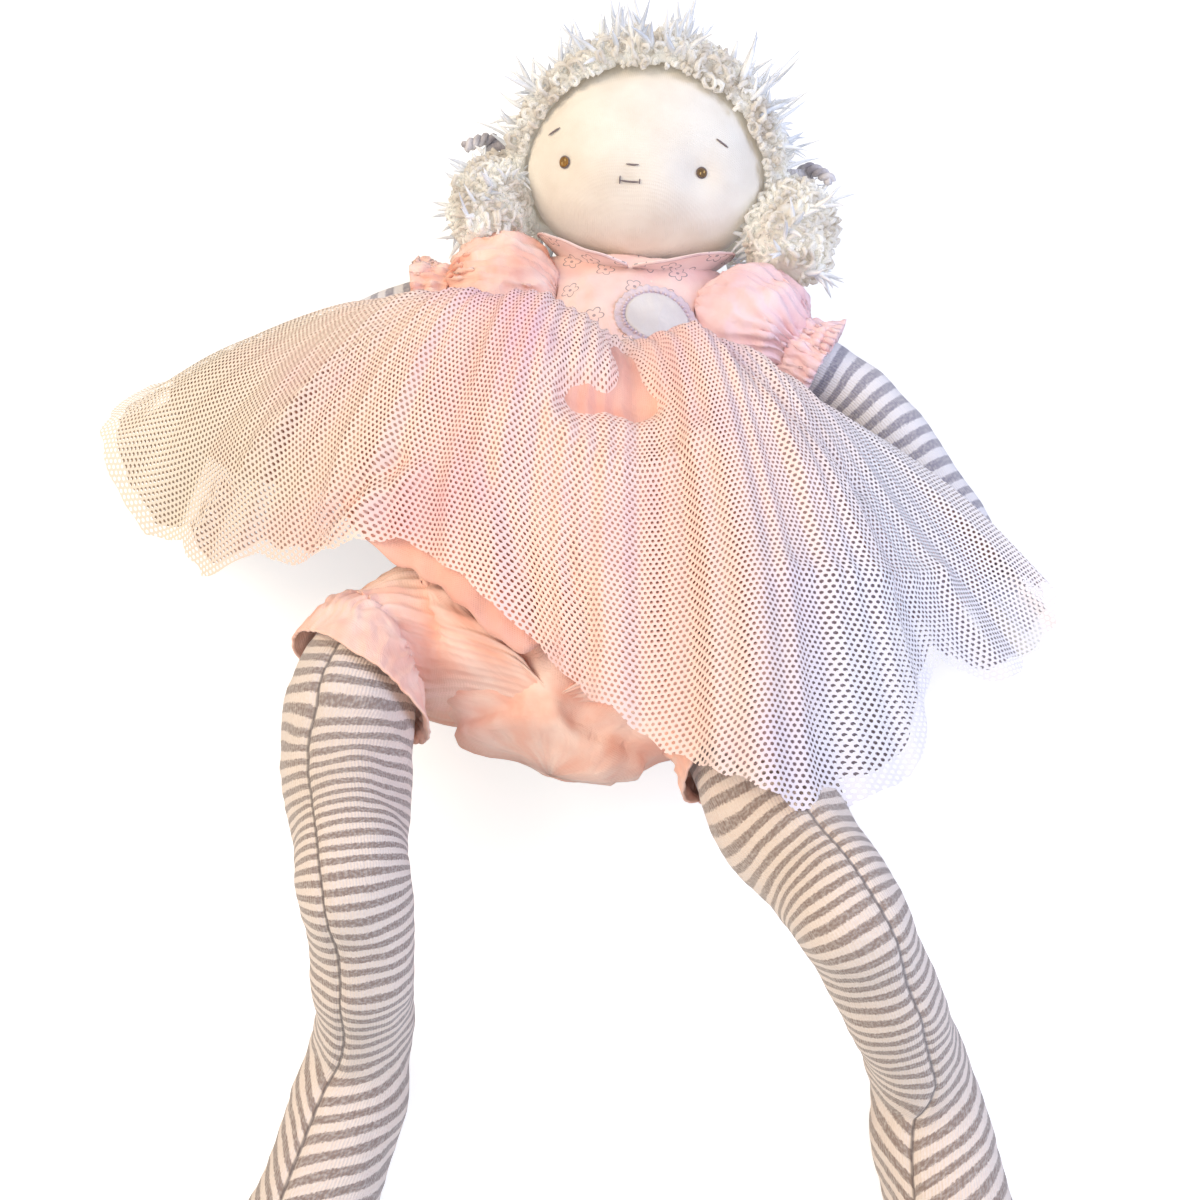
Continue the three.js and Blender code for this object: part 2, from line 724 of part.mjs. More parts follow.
function placedOnFace(geometry, place, normal) {
  const sideways = point(1, 0, 0).addScaledVector(normal, -normal.x).normalize();
  const upward = normal.clone().cross(sideways);
  const pose = new THREE.Matrix4().makeBasis(sideways, upward, normal).setPosition(place);
  return geometry.applyMatrix4(pose);
}

// Straight stitch of thread laid on the face.
function addStitch(name, across, up, length, leanDegrees) {
  const stitch = new THREE.CapsuleGeometry(STITCH_THICKNESS / 2, length, STITCH_CAP_RINGS, STITCH_SIDES);
  stitch.rotateZ(radians(90 + leanDegrees));
  const normal = faceNormal(across, up);
  const sag = length ** 2 / (8 * HEAD_HALF_DEPTH);
  const place = onHead(across, up, faceDepth(across, up));
  place.addScaledVector(normal, STITCH_THICKNESS / 2 + sag + SEAM_GAP / 2);
  addPiece(name, placedOnFace(stitch, place, normal), THREAD);
}

function addFace() {
  for (const side of [1, -1]) {
    addEye(side);
    const across = FACE_SHIFT + side * BROW_SPACING / 2;
    addStitch(`brow_${sideName(side)}`, across, BROW_RISE, BROW_LENGTH, -side * BROW_LEAN_DEGREES);
  }
  addStitch('nose_stitch', FACE_SHIFT, -NOSE_DROP, NOSE_LENGTH, 0);
  addStitch('mouth_stitch', FACE_SHIFT, -MOUTH_DROP, MOUTH_LENGTH, 0);
}

// Breadth of the collar from the front middle to its end, as shares of its length round
// the neck and of its full breadth, and the rise of its middle as a share of its edge's
const COLLAR_TABLE_SHARES = [
  [0, 0.68],
  [0.15, 0.9],
  [0.6, 1],
  [0.9, 0.8],
  [1, 0.6],
];
const COLLAR_MIDDLE_RISE_SHARE = 0.4;
const collarBreadthAt = easedTable(COLLAR_TABLE_SHARES);

// One half of the flat collar, laid round the neck from the front middle to the side.
function addCollar(side) {
  const half = COLLAR_THICKNESS / 2;
  const rings = [];
  for (let step = 0; step <= COLLAR_TURNS; step += 1) {
    const share = step / COLLAR_TURNS;
    const turn = radians(mixed(COLLAR_START_DEGREES, COLLAR_END_DEGREES, share));
    const full = mixed(COLLAR_FRONT_RADIUS, COLLAR_SIDE_RADIUS, Math.sin(turn));
    const outer = mixed(COLLAR_INNER_RADIUS, full, collarBreadthAt(share)[0]);
    const rise = COLLAR_SIDE_RISE * Math.sin(turn) ** 2;
    const path = [
      [COLLAR_INNER_RADIUS, COLLAR_INNER_RISE],
      [(COLLAR_INNER_RADIUS + outer) / 2, COLLAR_INNER_RISE + rise * COLLAR_MIDDLE_RISE_SHARE],
      [outer, COLLAR_INNER_RISE + rise],
    ];
    const upper = path.map(([radius, up]) => [radius, up + half]);
    const lower = path.map(([radius, up]) => [radius, up - half]).reverse();
    rings.push([...upper, ...lower].map(([radius, up]) => NECK_PIVOT.clone()
      .add(point(side * radius * Math.sin(turn), 0, 0))
      .addScaledVector(HEAD_UP, up)
      .addScaledVector(HEAD_FRONT, radius * Math.cos(turn))));
  }
  addPiece(`collar_${sideName(side)}`, cappedLoft(rings), PEACH);
}

// Height of the top of the bodice at a place across and along the doll.
function chestHeight(across, station) {
  const section = bodySection(station);
  const ease = SEAM_GAP + CLOTH_THICKNESS;
  const reach = Math.min(1, Math.abs(across) / (section.halfWidth + ease));
  return section.centreHeight + (section.halfDepth + ease) * Math.sqrt(1 - reach ** 2);
}

// Slope of the bodice under the badge, as a pose for a piece laid on it.
function badgePose() {
  const [across, station] = [BADGE_OFFSET, BADGE_STATION];
  const step = BADGE_RADIUS;
  const climb = (x, y) => chestHeight(across + x, station + y) - chestHeight(across - x, station - y);
  const alongX = point(2 * step, 0, climb(step, 0));
  const alongY = point(0, 2 * step, climb(0, step));
  const normal = alongX.clone().cross(alongY).normalize();
  const sideways = alongX.normalize();
  const upward = normal.clone().cross(sideways);
  const top = point(across, station, chestHeight(across, station));
  return new THREE.Matrix4().makeBasis(sideways, upward, normal).setPosition(top);
}

function addBadge() {
  const disc = new THREE.CylinderGeometry(BADGE_RADIUS, BADGE_RADIUS, BADGE_THICKNESS, SLEEVE_SIDES);
  disc.rotateX(Math.PI / 2);
  disc.translate(0, 0, BADGE_THICKNESS / 2 + BADGE_SEAT_GAP);
  addPiece('badge', disc.applyMatrix4(badgePose()), BADGE);
  const sides = 2 * SLEEVE_SIDES;
  const frillRing = (radius, rise) => Array.from({ length: sides }, (_, side) => {
    const turn = (side / sides) * Math.PI * 2;
    return point(radius * Math.cos(turn), radius * Math.sin(turn), rise + (side % 2) * BADGE_THICKNESS / 2);
  });
  const inner = BADGE_RADIUS + SEAM_GAP;
  const outer = inner + BADGE_FRILL_WIDTH;
  const low = BADGE_SEAT_GAP;
  const high = BADGE_SEAT_GAP + BADGE_THICKNESS;
  const frill = closedBody(
    [frillRing(inner, high), frillRing(outer, high), frillRing(outer, low), frillRing(inner, low)].flat(),
    ringBands(4, sides, true),
  );
  addPiece('badge_frill', frill.applyMatrix4(badgePose()), BADGE);
}

// Share along an arm at which it is so far from its shoulder.
function armShareAt(line, distance) {
  const pivot = SLEEVE_RADIUS - ARM_RADIUS;
  return (pivot + distance) / line.getLength();
}

// Puffed sleeve: a gathered ball of cotton round the shoulder, with a bore for the arm.
function addSleeve(side) {
  const line = armLine(side);
  const mouth = Math.asin(SLEEVE_MOUTH_RADIUS / SLEEVE_RADIUS);
  const profile = [];
  for (let band = 0; band <= SLEEVE_BANDS; band += 1) {
    const turn = mixed(mouth, Math.PI - mouth, band / SLEEVE_BANDS);
    profile.push(new THREE.Vector2(SLEEVE_RADIUS * Math.sin(turn), SLEEVE_RADIUS * Math.cos(turn)));
  }
  const mouthReach = SLEEVE_RADIUS * Math.cos(mouth);
  const bore = ARM_RADIUS + SEAM_GAP;
  profile.push(new THREE.Vector2(bore, -mouthReach));
  profile.push(new THREE.Vector2(bore, mouthReach));
  profile.push(profile[0].clone());
  const puff = new THREE.LatheGeometry(profile.reverse(), SLEEVE_SIDES);
  const direction = line.points[2].clone().sub(shoulderPivot(side)).normalize();
  puff.applyQuaternion(new THREE.Quaternion().setFromUnitVectors(point(0, 1, 0), direction));
  const pivot = shoulderPivot(side);
  const arm = stuffedLimb(line, armRadius, LIMB_STEPS, SEAM_GAP);
  const sleeve = toSolid(puff.translate(pivot.x, pivot.y, pivot.z)).subtract(arm);
  addPiece(`sleeve_${sideName(side)}`, toGeometry(sleeve), PEACH);
  addSleeveFrill(side, line, mouthReach);
}

// Elastic in the sleeve's mouth, and the crinkled frill beyond it.
function addSleeveFrill(side, line, mouthReach) {
  const mouthEnd = mouthReach + CLOTH_THICKNESS + SEAM_GAP;
  const start = armShareAt(line, mouthEnd);
  const end = armShareAt(line, mouthEnd + FRILL_LENGTH);
  const elasticEnd = armShareAt(line, mouthEnd + ELASTIC_WIDTH);
  const elasticInner = ARM_RADIUS + SEAM_GAP;
  const elasticOuter = elasticInner + ELASTIC_THICKNESS;
  const band = (radius) => ringsAlong(line, start, elasticEnd, 1, () => radius);
  addPiece(`sleeve_elastic_${sideName(side)}`, walledTube(band(elasticOuter), band(elasticInner)), ELASTIC);
  const base = elasticOuter + SEAM_GAP;
  const flare = (share) => base + FRILL_FLARE * ((share - start) / (end - start));
  const wave = (share, turn) => FRILL_WAVE * share * Math.cos(turn * FRILL_WAVES);
  const outside = (share) => flare(share) + CLOTH_THICKNESS;
  const inner = ringsAlong(line, start, end, 2, flare, FRILL_SIDES, wave);
  const outer = ringsAlong(line, start, end, 2, outside, FRILL_SIDES, wave);
  addPiece(`sleeve_frill_${sideName(side)}`, walledTube(outer, inner), PEACH);
}

function addArm(side) {
  const line = armLine(side);
  const arm = stuffedLimb(line, armRadius, LIMB_STEPS);
  addPiece(`arm_${sideName(side)}`, toGeometry(restingOnFloor(arm)), GREY_JERSEY);
  const wrist = line.getPointAt(1);
  const reach = line.getTangentAt(1).setZ(0).setLength(HAND_LENGTH);
  reach.applyAxisAngle(point(0, 0, 1), radians(side > 0 ? LEFT_HAND_TURN_DEGREES : RIGHT_HAND_TURN_DEGREES));
  const palmHeight = HAND_RADIUS - REST_FLAT_DEPTH;
  const tip = wrist.clone().add(reach).setZ(palmHeight);
  const palm = new THREE.CatmullRomCurve3([wrist, wrist.clone().lerp(tip, 1 / 2), tip]);
  const hand = stuffedLimb(palm, (share) => handRadiusTable(share)[0], HAND_STEPS)
    .subtract(stuffedLimb(line, armRadius, LIMB_STEPS, SEAM_GAP));
  addPiece(`hand_${sideName(side)}`, toGeometry(restingOnFloor(hand)), CALICO);
}

// Bloomers: share of their length, then their ease over the body at the sides, at the
// front and at the back, as shares of their fullness.
const BLOOMER_TABLE_SHARES = [
  [0, 0.2, 0.2, 0.2],
  [0.06, 0.8, 0.4, 0.4],
  [0.2, 1, 0.2, 0.275],
  [0.45, 0.75, 0.15, 0.08],
  [0.75, 0.35, 0.15, 0.11],
  [0.92, 0.18, 0.14, 0.13],
  [1, 0.15, 0.14, 0.14],
];
const bloomerShareAt = easedTable(BLOOMER_TABLE_SHARES);
const BLOOMER_RING_SHARES = [0, 0.03, 0.08, 0.2, 0.34, 0.45, 0.6, 0.75, 0.88, 1];

function bloomerRing(share, inset) {
  const station = BLOOMER_WAIST_STATION - BLOOMER_LENGTH * (1 - share);
  const [sides, front, back] = bloomerShareAt(share).map((ease) => ease * BLOOMER_FULLNESS - inset);
  const section = bodySection(station);
  const halfDepth = section.halfDepth + (front + back) / 2;
  const centreHeight = section.centreHeight + (front - back) / 2;
  return bodyRing(station, centreHeight, section.halfWidth + sides, halfDepth);
}

function addBloomers() {
  const outer = toSolid(cappedLoft(BLOOMER_RING_SHARES.map((share) => bloomerRing(share, 0))));
  const innerRings = BLOOMER_RING_SHARES.slice(1).map((share) => bloomerRing(share, CLOTH_THICKNESS));
  const mouth = innerRings[innerRings.length - 1].map((p) => p.clone().add(point(0, CLOTH_THICKNESS, 0)));
  const inner = toSolid(cappedLoft([...innerRings, mouth]));
  let bloomers = restingOnFloor(outer.subtract(inner));
  const legWall = BLOOMER_LEG_EASE + CLOTH_THICKNESS + 2 * SEAM_GAP;
  for (const side of [1, -1]) {
    const length = BODY_HALF_WIDTH + BLOOMER_FULLNESS;
    const [near, far] = [HIP_RADIUS + legWall, THIGH_RADIUS + legWall];
    const opening = new THREE.CylinderGeometry(near, far, length, SLEEVE_SIDES);
    opening.rotateZ(side * Math.PI / 2);
    opening.translate(side * (HIP_SPREAD + length / 2), HIP_STATION, HIP_HEIGHT);
    bloomers = bloomers
      .subtract(toSolid(opening))
      .subtract(stuffedLimb(thighLine(side), thighRadius, LIMB_STEPS, legWall + SEAM_GAP));
  }
  addPiece('bloomers_body', toGeometry(bloomers), PEACH);
}

// Bloomer leg with its elastic and its cuff, round one thigh.
function addBloomerLeg(side) {
  const line = thighLine(side);
  const name = sideName(side);
  const puffed = (share) => mixed(PUFF_START_SHARE, PUFF_END_SHARE, share / CUFF_START_SHARE);
  const puff = (share) => Math.sin(Math.PI * puffed(share));
  const legInner = (share) => thighRadius(share) + 2 * SEAM_GAP + BLOOMER_LEG_EASE * puff(share);
  const tube = (from, to, steps, radiusAt, wall) => walledTube(
    ringsAlong(line, from, to, steps, (share) => radiusAt(share) + wall),
    ringsAlong(line, from, to, steps, radiusAt),
  );
  const leg = tube(BLOOMER_LEG_START_SHARE, CUFF_START_SHARE, BLOOMER_LEG_BANDS, legInner, CLOTH_THICKNESS);
  const elasticEnd = CUFF_START_SHARE + ELASTIC_WIDTH / line.getLength();
  const elasticInner = (share) => thighRadius(share) + 2 * SEAM_GAP;
  const elastic = tube(CUFF_START_SHARE, elasticEnd, 1, elasticInner, ELASTIC_THICKNESS);
  addPiece(`leg_elastic_${name}`, elastic, ELASTIC);
  const flare = (share) => (share - CUFF_START_SHARE) / (CUFF_END_SHARE - CUFF_START_SHARE);
  const cuffSeat = ELASTIC_THICKNESS + CUFF_EASE;
  const cuffInner = (share) => elasticInner(share) + cuffSeat + CUFF_FLARE * flare(share);
  const cuff = tube(CUFF_START_SHARE, CUFF_END_SHARE, CUFF_BANDS, cuffInner, CLOTH_THICKNESS);
  addPiece(`bloomer_cuff_${name}`, cuff, PEACH);
  const cuffStart = CUFF_START_SHARE - SEAM_GAP / line.getLength();
  const cuffOuter = (share) => cuffInner(share) + CLOTH_THICKNESS + SEAM_GAP;
  const roomRings = ringsAlong(line, cuffStart, CUFF_END_SHARE, CUFF_BANDS, cuffOuter);
  const cuffRoom = toSolid(cappedLoft(roomRings));
  addPiece(`bloomer_leg_${name}`, toGeometry(toSolid(leg).subtract(cuffRoom)), PEACH);
}

function addWaistElastic() {
  const end = BLOOMER_WAIST_STATION - CLOTH_THICKNESS;
  const stations = [end - ELASTIC_WIDTH, end];
  const outer = stations.map((station) => bodySectionRing(station, SEAM_GAP + ELASTIC_THICKNESS));
  const inner = stations.map((station) => bodySectionRing(station, SEAM_GAP));
  addPiece('waist_elastic', walledTube(outer, inner), ELASTIC);
}

// Thigh, and the shin with its foot cut to fit round the ball of the knee.
function addLeg(side) {
  const thigh = thighLine(side);
  const name = sideName(side);
  addPiece(`thigh_${name}`, toGeometry(stuffedLimb(thigh, thighRadius, LIMB_STEPS)), GREY_JERSEY);
  const shin = stuffedLimb(shinLine(side), shinRadius, LIMB_STEPS)
    .subtract(stuffedLimb(thigh, thighRadius, LIMB_STEPS, SEAM_GAP))
    .subtract(socket(thigh.getPointAt(1), KNEE_RADIUS, LIMB_SIDES));
  addPiece(`shin_${name}`, toGeometry(restingOnFloor(shin)), GREY_JERSEY);
}

// Skirt surface: rows go round the waist from the doll's left side over the front.
// Each row holds a crest point, a middle point and a hem point, as shares of the
// skirt's half span across, of its length along and of its height.
const SKIRT_TABLE_SHARES = [
  [[0.44, 0.98, 0.51], [0.75, 0.77, 0.52], [1, 0.51, 0.44]],
  [[0.39, 0.94, 0.71], [0.69, 0.55, 0.6], [0.93, 0.29, 0.38]],
  [[0.31, 0.93, 0.84], [0.55, 0.48, 0.8], [0.69, 0.05, 0.6]],
  [[0.19, 0.93, 0.93], [0.35, 0.37, 0.94], [0.42, -0.17, 0.94]],
  [[0.05, 0.9, 0.89], [0.12, 0.38, 0.86], [0.17, -0.07, 0.84]],
  [[-0.11, 0.94, 1], [-0.13, 0.46, 0.89], [-0.08, 0.12, 0.76]],
  [[-0.27, 0.95, 0.98], [-0.36, 0.57, 0.84], [-0.36, 0.31, 0.73]],
  [[-0.39, 0.98, 0.91], [-0.59, 0.66, 0.73], [-0.67, 0.34, 0.42]],
  [[-0.47, 1.01, 0.82], [-0.79, 0.75, 0.62], [-0.97, 0.46, 0.25]],
  [[-0.5, 1.03, 0.73], [-0.87, 0.94, 0.58], [-1.17, 0.7, 0.38]],
  [[-0.43, 0.98, 0.34], [-0.74, 0.98, 0.4], [-1.04, 0.91, 0.38]],
  [[-0.26, 0.92, 0.1], [-0.41, 0.89, 0.12], [-0.57, 0.84, 0.14]],
  [[-0.1, 0.92, 0.022], [-0.15, 0.85, 0.016], [-0.21, 0.77, 0.011]],
  [[0.11, 0.91, 0.022], [0.17, 0.8, 0.016], [0.24, 0.69, 0.011]],
  [[0.27, 0.91, 0.055], [0.47, 0.8, 0.045], [0.64, 0.61, 0.033]],
  [[0.39, 0.92, 0.29], [0.64, 0.78, 0.3], [0.85, 0.54, 0.24]],
];

// Step round and along the skirt over which its slope is measured
const SKIRT_PROBE_SHARE = 0.008;
// How far the folds run on past the skirt's two sides
const SKIRT_FOLD_SPREAD_SHARE = 0.3;

// Closed smooth lines round the skirt through one column of its table.
const skirtLines = [0, 1, 2].map((column) => new THREE.CatmullRomCurve3(
  SKIRT_TABLE_SHARES.map((row) => point(
    row[column][0] * SKIRT_HALF_SPAN,
    row[column][1] * SKIRT_LENGTH,
    row[column][2] * SKIRT_HEIGHT,
  )),
  true,
));

// Point of the outermost skirt surface: round the waist by turn, down to the hem by fall.
function skirtPoint(turn, fall) {
  const section = bodySection(SKIRT_STATION);
  const angle = turn * Math.PI * 2;
  const waist = point(
    (section.halfWidth + SKIRT_EASE) * Math.cos(angle),
    SKIRT_STATION,
    section.centreHeight + (section.halfDepth + SKIRT_EASE) * Math.sin(angle),
  );
  const wrapped = ((turn % 1) + 1) % 1;
  const down = new THREE.CatmullRomCurve3([waist, ...skirtLines.map((line) => line.getPoint(wrapped))]);
  const place = down.getPoint(THREE.MathUtils.clamp(fall, 0, 1));
  return place.setZ(Math.max(place.z, SKIRT_FLOOR_CLEARANCE));
}

function skirtNormal(turn, fall) {
  const low = Math.max(0, fall - SKIRT_PROBE_SHARE);
  const high = Math.min(1, fall + SKIRT_PROBE_SHARE);
  const along = skirtPoint(turn, high).sub(skirtPoint(turn, low));
  const round = skirtPoint(turn + SKIRT_PROBE_SHARE, fall).sub(skirtPoint(turn - SKIRT_PROBE_SHARE, fall));
  return round.cross(along).normalize();
}

// One layer of the skirt, so many steps inside the outermost one and so many bands long.
function addSkirtLayer(name, layer, bands, color) {
  const ring = (band, offset) => Array.from({ length: SKIRT_SIDES }, (_, side) => {
    const turn = side / SKIRT_SIDES;
    const fall = band / SKIRT_BANDS;
    const front = THREE.MathUtils.clamp(Math.sin(turn * Math.PI * 2) + SKIRT_FOLD_SPREAD_SHARE, 0, 1);
    const fold = SKIRT_FOLD_DEPTH * fall * front * Math.cos(turn * SKIRT_FOLDS * Math.PI * 2);
    return skirtPoint(turn, fall).addScaledVector(skirtNormal(turn, fall), offset + fold);
  });
  const rows = Array.from({ length: bands + 1 }, (_, band) => band);
  const depth = -layer * SKIRT_LAYER_STEP;
  const outer = rows.map((band) => ring(band, depth));
  const inner = rows.map((band) => ring(band, depth - NET_THICKNESS));
  addPiece(name, walledTube(outer, inner), color);
}

function addSkirt() {
  addSkirtLayer('tulle_outer', 0, SKIRT_BANDS, NET);
  addSkirtLayer('tulle_under', 1, SKIRT_BANDS - 1, NET);
  addSkirtLayer('underskirt', 2, SKIRT_BANDS - 2, PEACH);
}

addTorso();
addBodice();
addWaistband();
addNeck();
addHead();
addHair();
addFace();
addBadge();
addBloomers();
addWaistElastic();
addSkirt();
for (const side of [1, -1]) {
  addBunch(side);
  addHairTie(side);
  addCollar(side);
  addSleeve(side);
  addArm(side);
  addBloomerLeg(side);
  addLeg(side);
}

// The origin is the middle of the footprint, on the plane that the doll lies on.
const footprint = new THREE.Box3().setFromObject(pieces);
const middle = footprint.getCenter(point(0, 0, 0));
pieces.position.set(-middle.x, -middle.y, -footprint.min.z);
pieces.updateMatrixWorld(true);

export default pieces;
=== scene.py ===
"""Plush rag doll in a net skirt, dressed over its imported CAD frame."""

import logging
import math
import random
from dataclasses import dataclass, field
from enum import Enum
from functools import partial
from typing import Callable, Optional, Sequence

import bpy
import numpy as np
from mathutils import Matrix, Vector, noise


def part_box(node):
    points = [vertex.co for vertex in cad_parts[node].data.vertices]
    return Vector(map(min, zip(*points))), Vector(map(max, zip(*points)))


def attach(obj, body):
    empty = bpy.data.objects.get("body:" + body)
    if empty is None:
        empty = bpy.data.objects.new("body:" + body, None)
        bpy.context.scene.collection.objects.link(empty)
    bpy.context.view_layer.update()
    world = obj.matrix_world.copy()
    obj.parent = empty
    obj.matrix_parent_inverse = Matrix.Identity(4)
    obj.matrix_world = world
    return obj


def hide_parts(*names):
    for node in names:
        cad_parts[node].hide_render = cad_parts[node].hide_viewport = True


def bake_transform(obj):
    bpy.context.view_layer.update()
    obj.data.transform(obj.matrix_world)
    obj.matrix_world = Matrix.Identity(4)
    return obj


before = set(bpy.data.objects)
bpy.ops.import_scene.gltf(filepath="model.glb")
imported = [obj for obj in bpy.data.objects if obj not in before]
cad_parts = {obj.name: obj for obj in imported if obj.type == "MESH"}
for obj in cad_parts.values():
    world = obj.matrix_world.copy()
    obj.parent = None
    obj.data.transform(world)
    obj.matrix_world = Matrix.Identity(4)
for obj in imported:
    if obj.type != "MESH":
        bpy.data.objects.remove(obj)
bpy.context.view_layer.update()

LOG = logging.getLogger("doll")
MM = 0.001
TURN = 2 * math.pi
WAVE_PERIOD = TURN / 20
GOLDEN_ANGLE = math.pi * (3 - math.sqrt(5))
Array = np.ndarray
Socket = bpy.types.NodeSocket
Adder = Callable[..., Socket]


def vec(*values: float) -> Array:
    """Return the values as a point or direction."""
    return np.array(values, dtype=float)


def unit(values: Array) -> Array:
    """Return directions of length one."""
    return values / np.maximum(np.linalg.norm(values, axis=-1, keepdims=True), 1e-12)


ACROSS = vec(1, 0, 0)
UP = vec(0, 0, 1)


def spread(count: int) -> Array:
    """Return so many angles, evenly spread round a turn."""
    return np.arange(count) / count * TURN


def hoop(centre: Array, first: Array, second: Array, angles: Array, wide: float, tall: float) -> Array:
    """Return a ring: so wide along the first direction and so tall along the second."""
    return centre + wide * np.outer(np.cos(angles), first) + tall * np.outer(np.sin(angles), second)


def drawing_origin() -> Array:
    """Return where the doll's own origin lies, found from the ball of its neck."""
    low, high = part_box("neck")
    return (np.array(low) + np.array(high)) / 2 - vec(0, 0.189, 0.028)


ORIGIN = drawing_origin()


def placed(points: Array) -> Array:
    """Return points given in the doll's own millimetres as metres in the shared frame."""
    return np.asarray(points, dtype=float) * MM + ORIGIN


class Side(Enum):
    """The doll's own sides; its left lies on +X."""

    LEFT = 1
    RIGHT = -1

    @property
    def word(self) -> str:
        """Return the side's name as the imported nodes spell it."""
        return self.name.lower()


# ---------------------------------------------------------------- shape helpers


def eased_table(rows: Sequence[Sequence[float]]) -> Callable[[float], Array]:
    """Ease between the rows of a table.

    Args:
        rows: a share, then its values, in rising order of share.

    Returns:
        A function from a share to the values there.
    """
    table = np.array(rows, dtype=float)

    def at(share: float) -> Array:
        row = int(np.clip(np.searchsorted(table[:, 0], share, side="left") - 1, 0, len(table) - 2))
        low, high = table[row], table[row + 1]
        linear = float(np.clip((share - low[0]) / (high[0] - low[0]), 0, 1))
        smooth = linear * linear * (3 - 2 * linear)
        return low[1:] + (high[1:] - low[1:]) * (smooth + linear) / 2

    return at


def curve_at(points: Array, share: float, closed: bool = False) -> Array:
    """Find a place on the smooth line through points.

    Args:
        points: the points, or rows of them, along the first axis.
        share: how far along the line, from 0 to 1.
        closed: whether the line runs back to its start.

    Returns:
        The place, or one place a row.
    """
    count = len(points)
    position = (count if closed else count - 1) * share
    index = int(math.floor(position))
    within = position - index
    if not closed and index >= count - 1:
        index, within = count - 2, 1.0
    if closed:
        p0, p1, p2, p3 = (points[(index + step) % count] for step in (-1, 0, 1, 2))
    else:
        p1, p2 = points[index], points[index + 1]
        p0 = points[index - 1] if index > 0 else 2 * points[0] - points[1]
        p3 = points[index + 2] if index + 2 < count else 2 * points[-1] - points[-2]
    spans = [np.sqrt(np.linalg.norm(b - a, axis=-1, keepdims=True)) for a, b in ((p0, p1), (p1, p2), (p2, p3))]
    d1 = np.maximum(spans[1], 1e-4)
    d0, d2 = (np.where(span < 1e-4, d1, span) for span in (spans[0], spans[2]))
    t1 = ((p1 - p0) / d0 - (p2 - p0) / (d0 + d1) + (p2 - p1) / d1) * d1
    t2 = ((p2 - p1) / d1 - (p3 - p1) / (d1 + d2) + (p3 - p2) / d2) * d1
    rest = -3 * p1 + 3 * p2 - 2 * t1 - t2
    cube = 2 * p1 - 2 * p2 + t1 + t2
    return p1 + t1 * within + rest * within**2 + cube * within**3


class Line:
    """Smooth line that is measured along its own length."""

    def __init__(self, points: Array) -> None:
        """Measure the line through points, given in millimetres."""
        self.samples = np.asarray(points, dtype=float)
        steps = np.linalg.norm(np.diff(self.samples, axis=0), axis=1)
        self.reach = np.concatenate([[0.0], np.cumsum(steps)])
        self.length = float(self.reach[-1])

    @classmethod
    def through(cls, points: Sequence[Array], samples: int = 240) -> "Line":
        """Return the smooth line through a few points."""
        rows = np.array(points, dtype=float)
        return cls(np.array([curve_at(rows, step / samples) for step in range(samples + 1)]))

    def at(self, share: float) -> Array:
        """Return the place at a share of the length, run on straight past either end."""
        distance = share * self.length
        place = vec(*(np.interp(distance, self.reach, self.samples[:, axis]) for axis in range(3)))
        over = distance - float(np.clip(distance, 0, self.length))
        return place + self.heading(share) * over

    def heading(self, share: float) -> Array:
        """Return the direction of the line at a share of its length."""
        within = float(np.clip(share, 0, 1))
        low, high = (float(np.clip(within + step, 0, 1)) * self.length for step in (-0.012, 0.012))
        ends = [vec(*(np.interp(d, self.reach, self.samples[:, axis]) for axis in range(3))) for d in (low, high)]
        return unit(ends[1] - ends[0])


